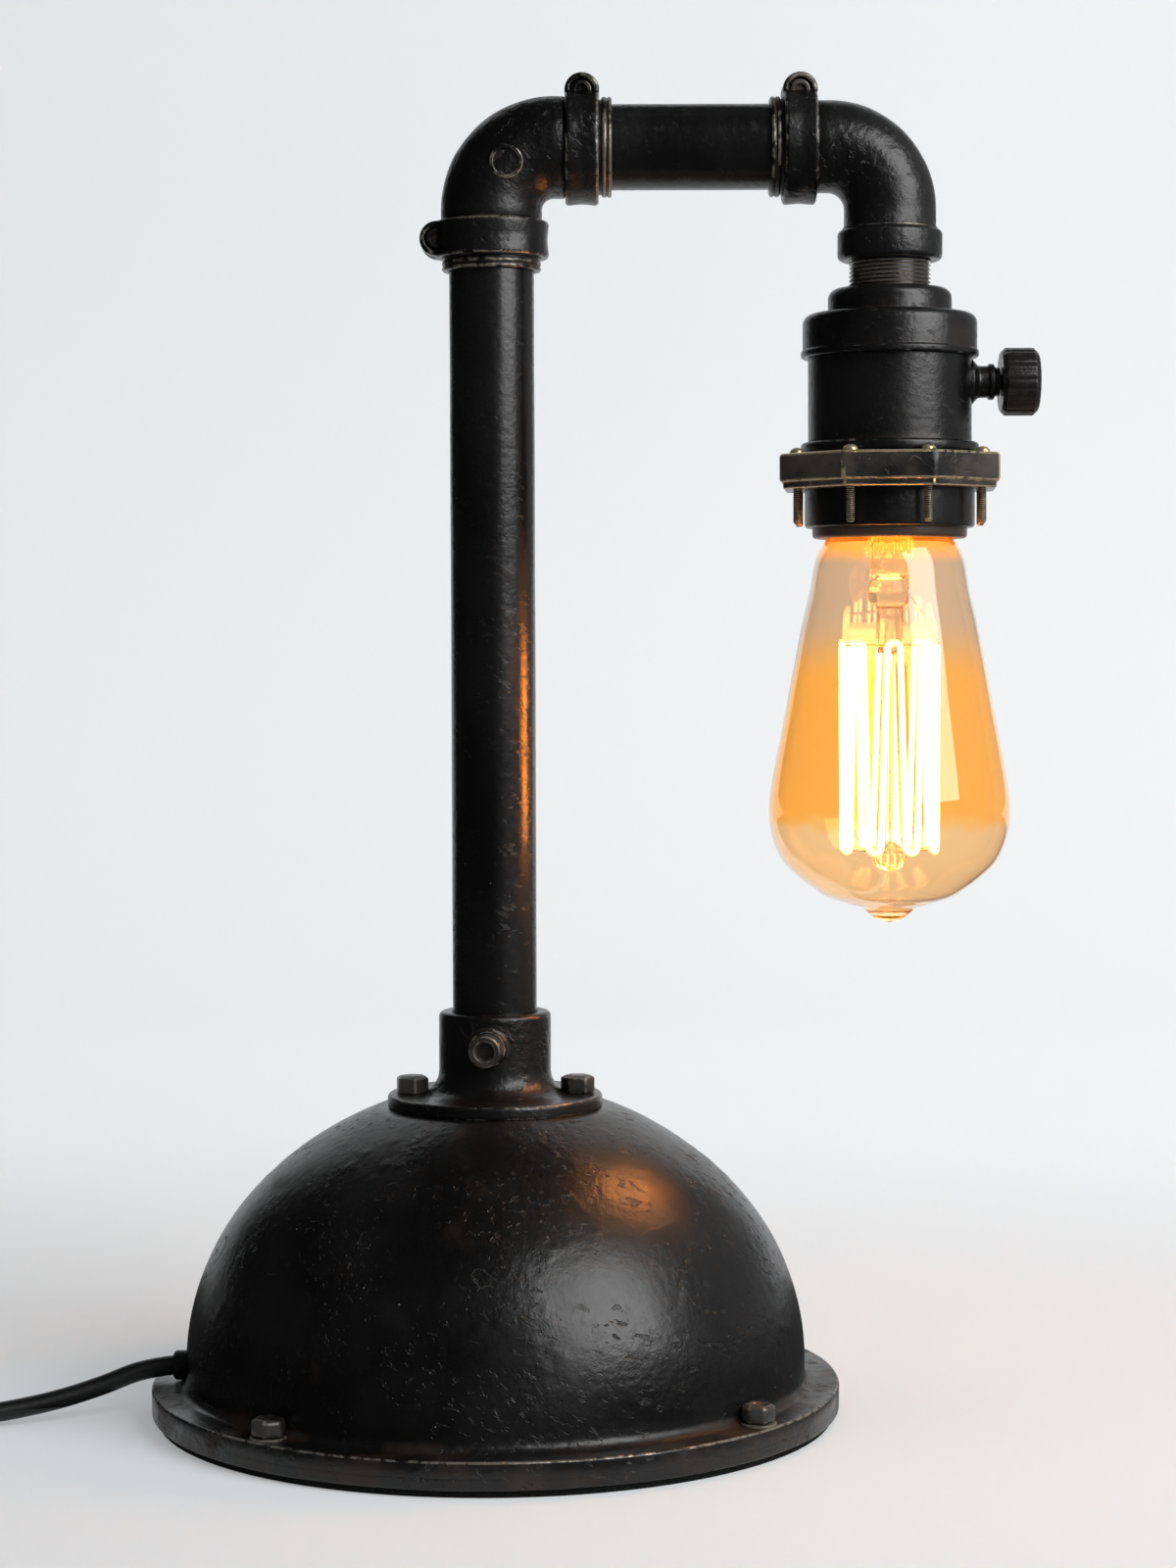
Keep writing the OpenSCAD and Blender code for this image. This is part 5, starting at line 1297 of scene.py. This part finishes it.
class LAMP_OT_clamps(bpy.types.Operator):
    """Split clamps with their ears and pinch screws"""

    bl_idname = "lamp.clamps"
    bl_label = "Clamps"

    def execute(self, context):
        size = context.scene.lamp_elbows
        along = Matrix.Rotation(math.radians(90), 4, "Y")
        post = Matrix.Translation((0, 0, POST_CLAMP.mid.z))
        arm, head = (Matrix.Translation((clamp.mid.x, 0, ARM_Z)) @ along
                     for clamp in (ARM_CLAMP, HEAD_CLAMP))
        self.clamp(size, "post", "arm", POST_CLAMP.half.z, post)
        self.clamp(size, "arm", "arm", ARM_CLAMP.half.x, arm)
        self.clamp(size, "head", "head", HEAD_CLAMP.half.x, head)
        self.screws(size, "elbow_pinch_screws", "arm", "elbow_screws", (post, arm))
        self.screws(size, "head_pinch_screw", "head", "head_screw", (head,))
        return {"FINISHED"}

    def clamp(self, size, name, body, half, place):
        """Band round its own Z axis with a split ear to -X, bored for the screw's head, all fused."""
        inner = size.socket_r + SEAT
        bm = bmesh.new()
        lathe(bm, rounded([(inner, -half), (size.clamp_r, -half, 0.8 * MM),
                           (size.clamp_r - size.waist, 0, 8 * MM), (size.clamp_r, half, 0.8 * MM),
                           (inner, half)]), steps=112)
        r, near, far, seat = size.ear_r, size.slit / 2, size.ear_half, size.ear_bore
        floor = far - 1.9 * MM
        for side in (-1, 1):
            shape = [(0, near), (r, near, 0.3 * MM), (r, far, 0.7 * MM)]
            shape += [(seat, far, 0.25 * MM), (seat, floor), (0, floor)] if side < 0 else [(0, far)]
            lathe(bm, rounded(shape), at((-size.ear_at, 0, 0), (0, side, 0)), 48, closed=False)
        bm = fused(bm, 0.36 * MM, 4)
        bmesh.ops.transform(bm, matrix=place, verts=bm.verts)
        piece(name + "_pinch_clamp", bm, body, "cast_iron", name + "_clamp", crisp=60, cast="clamp")

    def screws(self, size, name, body, node, places):
        """Cap screws in the ears of clamps."""
        bm = bmesh.new()
        ear = at((-size.ear_at, -size.ear_half + 1.8 * MM, 0), FRONT)
        for place in places:
            socket_head(bm, size.screw_r, 1.5 * MM, 8 * MM, place @ ear, 30)
        piece(name, bm, body, "fasteners", node)


# Lamp holder

AXIS = Vector((HEAD_X, 0, 0))
SHELL_ROWS = 14
RING_SIDES = 8
SCREW_RINGS = 16
FLUTE_STEPS = 6
# Depth of a flute by the step round the knob, in millimetres
FLUTE = {0: 0.20, 1: 0.11, 5: 0.11}


class LAMP_OT_holder(bpy.types.Operator):
    """Cap, shell, skirt and collar of the lamp holder"""

    bl_idname = "lamp.holder"
    bl_label = "Lamp holder"

    def execute(self, context):
        size = context.scene.lamp_holder
        self.cap(size)
        self.shell(size)
        thread, r, low, top = size.thread_r, SKIRT.half.x, SKIRT.low.z, SKIRT.high.z
        turned("skirt", "head", "holder", "ring_skirt",
               rounded([(thread, top), (thread, low), (r, low, 0.9 * MM), (r, top)]), at(AXIS))
        inner, end, top = context.scene.lamp_bulb.neck_r + 0.8 * MM, COLLAR.low.z, COLLAR.high.z
        step = thread - 1.1 * MM
        turned("collar", "head", "core", "mouth_collar",
               rounded([(inner, top), (inner, end, 0.5 * MM), (thread, end, 1.0 * MM), (thread, low),
                        (step, low), (step, top)]), at(AXIS))
        return {"FINISHED"}

    def cap(self, size):
        bore, inner = NIPPLE.half.x + SEAT, size.shell_r + SEAT
        top, end = CAP.high.z, CAP.low.z
        neck, neck_z, r = size.neck_r, size.neck_z, size.cap_r
        lip, under = r + 0.45 * MM, neck_z - 1.35 * MM
        turned("holder_cap", "head", "holder", "socket_cap", rounded([
            (bore, under), (bore, top, 0.3 * MM), (neck, top, 3 * MM), (neck, neck_z, 0.9 * MM),
            (r, neck_z, 2.6 * MM), (r, end + 2.2 * MM, 0.4 * MM), (lip, end + 1.6 * MM, 0.4 * MM),
            (lip, end, 0.6 * MM), (inner, end), (inner, under)]), at(AXIS), 112, cast="holder")

    def shell(self, size):
        top, end, r, z = SHELL.high.z, SKIRT.low.z, size.shell_r, size.bead_z
        bead, low, thread, wall = r + size.bead_out, RING.high.z, size.thread_r, size.shell_wall
        rows = [(r, z + (top - z) * (1 - i / SHELL_ROWS)) for i in range(SHELL_ROWS)]
        outer = rounded([(r, z + 0.5 * MM), (r, z, 0.6 * MM), (bead, z, 1.2 * MM), (bead, low, 1.2 * MM),
                         (thread, low)])[1:]
        inner = [(thread, end), (thread - wall, end), (thread - wall, z - wall), (r - wall, z - wall),
                 (r - wall, top)]
        turned("holder_shell", "head", "holder", "socket_shell", rows + outer + inner, at(AXIS), 112,
               cast="holder")


class LAMP_OT_ring(bpy.types.Operator):
    """Eight-sided ring with its screws"""

    bl_idname = "lamp.ring"
    bl_label = "Eight-sided ring"

    def execute(self, context):
        size = context.scene.lamp_holder
        foot, flat, bore = size.ring_foot, size.ring_flat, size.thread_r
        bm = bmesh.new()
        self.octagon(bm, flat, bore, foot, RING.high.z, 1.0 * MM)
        self.octagon(bm, flat - 0.9 * MM, bore, RING.low.z, foot + 0.4 * MM, 0.5 * MM)
        place = Matrix.Translation(AXIS) @ Matrix.Rotation(-size.ring_az, 4, "Z")
        bmesh.ops.transform(bm, matrix=place, verts=bm.verts)
        piece("octagon_ring", bm, "head", "worn_ring", "eight_ring", crisp=30)
        self.screws(size)
        return {"FINISHED"}

    def octagon(self, bm, flat, bore, low, high, bevel):
        """Eight-sided collar: a bevelled prism whose end faces are bridged to a round bore."""
        before = set(bm.verts)
        faces = prism(bm, RING_SIDES, flat, high - low, bevel, math.pi / RING_SIDES)
        ends = [f for f in faces if abs(f.normal.z) > 0.99 and len(f.verts) > 4]
        rims = [(list(f.edges), f.calc_center_median().z) for f in ends]
        bmesh.ops.delete(bm, geom=ends, context="FACES_ONLY")
        bores = []
        for rim, z in rims:
            place = Matrix.Translation((0, 0, z))
            circle = bmesh.ops.create_circle(bm, segments=64, radius=bore, matrix=place)["verts"]
            bores.append(edges_of(circle))
            bmesh.ops.bridge_loops(bm, edges=rim + bores[-1])
        bmesh.ops.bridge_loops(bm, edges=bores[0] + bores[1])
        added(bm, before, Matrix.Translation((0, 0, low)))

    def screws(self, size):
        """Round heads on the ring and shanks with thread rings down beside the skirt."""
        r, shank = size.screw_head_r, size.screw_r
        root, top, foot = shank - 0.14 * MM, RING.high.z, SKIRT.low.z + 0.8 * MM
        step = (RING.low.z - foot - 0.6 * MM) / SCREW_RINGS
        outline = [(0, foot), (shank - 0.35 * MM, foot)]
        for i in range(SCREW_RINGS):
            outline += [(root, foot + 0.5 * MM + step * i), (shank, foot + 0.5 * MM + step * (i + 0.5))]
        brim = top + 0.25 * MM
        outline += [(root, RING.low.z), (shank, top), (r, top), (r, brim)]
        outline += [(r * math.cos(a), brim + 1.35 * MM * math.sin(a)) for a in (0.3, 0.6, 0.9, 1.2, 1.4)]
        outline.append((0, top + 1.6 * MM))
        bm = bmesh.new()
        for i in range(RING_SIDES):
            turn = math.radians(360 / RING_SIDES * (i + 0.5)) - size.ring_az
            lathe(bm, outline, at(AXIS + spoke(turn) * size.ring_screw_r), 24, closed=False)
        piece("ring_round_screws", bm, "head", "worn_ring", "ring_screws", crisp=50)


class LAMP_OT_switch(bpy.types.Operator):
    """Stem and fluted knob of the turn switch"""

    bl_idname = "lamp.switch"
    bl_label = "Switch"

    def execute(self, context):
        size = context.scene.lamp_holder
        place = at((HEAD_X, 0, size.switch_z), RIGHT)
        end, r, root, bore = STEM.high.x - HEAD_X, size.stem_r, size.shell_r, 2.1 * MM
        foot, neck, bead, nose = r + 1.7 * MM, r - 0.1 * MM, r + 0.45 * MM, r - 0.5 * MM
        turned("switch_bush", "head", "holder", "switch_stem", rounded([
            (bore, root - 2 * MM), (foot, root - 2 * MM), (foot, root + 0.2 * MM, 0.5 * MM),
            (neck, root + 1.7 * MM, 1.2 * MM), (neck, end - 3.1 * MM, 0.2 * MM),
            (bead, end - 2.7 * MM, 0.35 * MM), (bead, end - 1.5 * MM, 0.35 * MM),
            (nose, end - 1.1 * MM, 0.2 * MM), (nose, end), (bore, end)], 4), place, 56)
        self.knob(size, place)
        return {"FINISHED"}

    def knob(self, size, place):
        """Round knob: a lathed body with columns of vertices drawn in as flutes."""
        low, high, r = KNOB.low.x - HEAD_X, KNOB.high.x - HEAD_X, KNOB.half.z
        steps = size.flutes * FLUTE_STEPS
        bm = bmesh.new()
        verts = lathe(bm, rounded([
            (0, low), (r - 1.1 * MM, low, 0.2 * MM), (r, low + 1.1 * MM, 0.4 * MM),
            (r, high - 1.7 * MM, 0.5 * MM), (r - 1.3 * MM, high - 0.35 * MM, 0.8 * MM), (0, high)], 4),
            Matrix(), steps, closed=False)
        for v in verts:
            across = math.hypot(v.co.x, v.co.y)
            column = round(math.atan2(v.co.y, v.co.x) / math.tau * steps) % FLUTE_STEPS
            if across > r - 0.6 * MM:
                v.co.xy *= 1 - FLUTE.get(column, 0) * MM / across
        bmesh.ops.transform(bm, matrix=place, verts=bm.verts)
        piece("fluted_knob", bm, "knob", "knob", "switch_knob", crisp=30)


# Bulb

# Drop of the glass: shares of its swell over the neck, then of its radius, each with a share of its length
SWELL = [(0.13, 0.115), (0.22, 0.15), (0.30, 0.214), (0.45, 0.303), (0.71, 0.49), (0.945, 0.66)]
DROP = [(1, 0.735), (0.963, 0.804), (0.846, 0.866), (0.58, 0.927), (0.4, 0.9485), (0.24, 0.963),
        (0.18, 0.975), (0.12, 0.989), (0, 1)]
# Points of the outer line that belong to the solid tip
TIP_POINTS = 14


class LAMP_OT_bulb(bpy.types.Operator):
    """Amber glass, inner stem and the filament's cage"""

    bl_idname = "lamp.bulb"
    bl_label = "Bulb"

    def execute(self, context):
        size = context.scene.lamp_bulb
        self.glass(size)
        self.stem(size)
        self.cage(size)
        self.wires(size)
        return {"FINISHED"}

    def glass(self, size):
        """Drop-shaped glass with its wall, from its neck in the cap down to its tip."""
        neck, r, drop = size.neck_r, GLASS.half.x, size.rim_z - GLASS.low.z
        line = [(11 * MM, -1.2 * MM), (11.1 * MM, 0.6 * MM), (12.2 * MM, 3 * MM), (neck, 9.6 * MM)]
        line += [(neck + share * (r - neck), down * drop) for share, down in SWELL]
        line += [(share * r, down * drop) for share, down in DROP]
        outer = [(max(p.x, 0), size.rim_z - p.y) for p in through(line, 6)]
        inner = []
        for i, point in enumerate(outer[:-TIP_POINTS]):
            step = Vector(outer[i + 1]) - Vector(outer[max(i - 1, 0)])
            side = Vector((step.y, -step.x)).normalized() * size.wall
            inner.append((point[0] + side.x, point[1] + side.y))
        inner.append((0, inner[-1][1] - 0.1 * MM))
        glass = turned("amber_bulb", "head", "amber_glass", "bulb_glass", outer[::-1] + inner, at(AXIS), 128,
                       closed=False, crisp=70)
        glass.visible_shadow = False

    def stem(self, size):
        """Flared tube, pinched blob and rod that carry the filament, in millimetres over four levels."""
        rim, blob, high, low = size.rim_z, size.rim_z - 22.3 * MM, size.cage_z, size.cage_z - size.cage_h
        bore = [(0, blob, 1), (3, blob, 2.2), (4.3, blob, 5), (4.4, rim, -6), (5, rim, -1.5),
                (6.5, rim, 1.2)]
        line = [(10.6, rim, 1.6), (7, rim, -1.5), (5.8, rim, -6), (5.6, blob, 4), (5.3, blob, 1.5),
                (5.9, blob, -1.6), (5.2, blob, -4.2), (3.6, blob, -5.6), (3.5, high, 4), (3.2, high, -2),
                (1.4, high, -4), (1.2, low, 5), (1.5, low, 1.5), (4.2, low, -0.6), (4.4, low, -3),
                (3.4, low, -5.6), (0, low, -6.6)]
        bore, line = ([(r * MM, level + z * MM) for r, level, z in points] for points in (bore, line))
        outline = [(max(p.x, 0), p.y) for p in through(bore, 4) + through(line, 5)]
        stem = turned("glass_stem", "head", "clear_glass", "bulb_stem", outline, at(AXIS), 48, closed=False,
                      crisp=70)
        stem.visible_shadow = False

    def cage(self, size):
        """Strands down and up between the hooks, once round, as one wire."""
        step = math.tau / size.hooks
        turn = step * 0.17
        foot = size.cage_z - size.cage_h

        def spot(a, z):
            return AXIS + spoke(a) * size.cage_r + UP * z

        def bend(a, z, side):
            return [spot(a - turn * math.cos(b), z + side * (1.7 * math.sin(b) - 0.8) * MM)
                    for b in (math.pi * k / 6 for k in range(7))]

        way = [spot(turn, size.cage_z)]
        for i in range(size.hooks):
            way += bend(step * (i + 0.5), foot, -1)
            if i < size.hooks - 1:
                way += bend(step * (i + 1), size.cage_z, 1)
        way.append(spot(-turn, size.cage_z))
        curve = round_line("cage", way, size.strand_r, 2)
        made = bpy.data.objects.new("cage", curve)
        bm = bmesh.new()
        bm.from_mesh(made.to_mesh())
        bpy.data.objects.remove(made)
        bpy.data.curves.remove(curve)
        piece("filament_cage", bm, "head", "filament", "bulb_filament", crisp=80)

    def wires(self, size):
        """Hooks that hold the cage, and the two leads down from the stem."""
        step = math.tau / size.hooks
        high, low = UP * size.cage_z, UP * (size.cage_z - size.cage_h)
        root, reach = 3.3 * MM, size.cage_r + 0.9 * MM
        bm = bmesh.new()
        for i in range(1, size.hooks):
            out = spoke(step * i)
            self.wire(bm, size, out * root + high, out * reach + high)
        for i in range(size.hooks):
            out = spoke(step * (i + 0.5))
            self.wire(bm, size, out * root + low - UP * MM, out * reach + low)
        piece("cage_hooks", bm, "head", "support_wire", "filament_hooks", crisp=80)
        bm = bmesh.new()
        for side in (-1, 1):
            self.wire(bm, size, Vector((5.9 * MM, side * 0.6 * MM, size.rim_z - 24.9 * MM)),
                      Vector((size.cage_r, side * 0.9 * MM, size.cage_z + 0.9 * MM)))
        piece("stem_leads", bm, "head", "support_wire", "bulb_leads", crisp=80)

    def wire(self, bm, size, start, end):
        """Straight wire with rounded ends between two places that count from the lamp holder's axis."""
        way, r = end - start, size.wire_r
        rod = rounded([(0, 0), (r, 0, 0.1 * MM), (r, way.length, 0.15 * MM), (0, way.length)], 3)
        lathe(bm, rod, at(AXIS + start, way), 12, closed=False)


# Inner pieces that keep their CAD shape

class LAMP_OT_inner(bpy.types.Operator):
    """Finishes of the inner pieces: leads, nuts, contacts, core, sleeve and spindle"""

    bl_idname = "lamp.inner"
    bl_label = "Inner pieces"

    def execute(self, context):
        slots = {entry["node"]: entry["material_slot"] for entry in frame["record"]["subparts"]}
        for name, node in frame["nodes"].items():
            if not node.hide_render:
                node.data.materials.clear()
                node.data.materials.append(finish(slots[name]))
        return {"FINISHED"}


class LAMP_PT_panel(bpy.types.Panel):
    """Lists the lamp's pieces and sizes in the sidebar"""

    bl_idname = "LAMP_PT_panel"
    bl_label = "Pipe table lamp"
    bl_space_type = "VIEW_3D"
    bl_region_type = "UI"
    bl_category = "Lamp"

    def draw(self, context):
        for step in STEPS:
            self.layout.operator(step.bl_idname)
        for name, group in GROUPS.items():
            box = self.layout.box()
            box.label(text=group.__doc__)
            for key in group.__annotations__:
                box.prop(getattr(context.scene, name), key)


GROUPS = {"lamp_base": LampBase, "lamp_elbows": LampElbows, "lamp_holder": LampHolder, "lamp_bulb": LampBulb,
          "lamp_cord": LampCord, "lamp_finishes": LampFinishes, "lamp_stage": LampStage}
STEPS = [LAMP_OT_stage, LAMP_OT_cord, LAMP_OT_base, LAMP_OT_base_bolts, LAMP_OT_floor_flange, LAMP_OT_pipes,
         LAMP_OT_elbows, LAMP_OT_clamps, LAMP_OT_holder, LAMP_OT_ring, LAMP_OT_switch, LAMP_OT_bulb,
         LAMP_OT_inner]


def register():
    for item in [*GROUPS.values(), *STEPS, LAMP_PT_panel]:
        bpy.utils.register_class(item)
    for name, group in GROUPS.items():
        setattr(bpy.types.Scene, name, PointerProperty(type=group))


def unregister():
    for name in GROUPS:
        delattr(bpy.types.Scene, name)
    for item in reversed([*GROUPS.values(), *STEPS, LAMP_PT_panel]):
        bpy.utils.unregister_class(item)


def main():
    register()
    for step in STEPS:
        group, name = step.bl_idname.split(".")
        getattr(getattr(bpy.ops, group), name)()


if __name__ == "__main__":
    main()
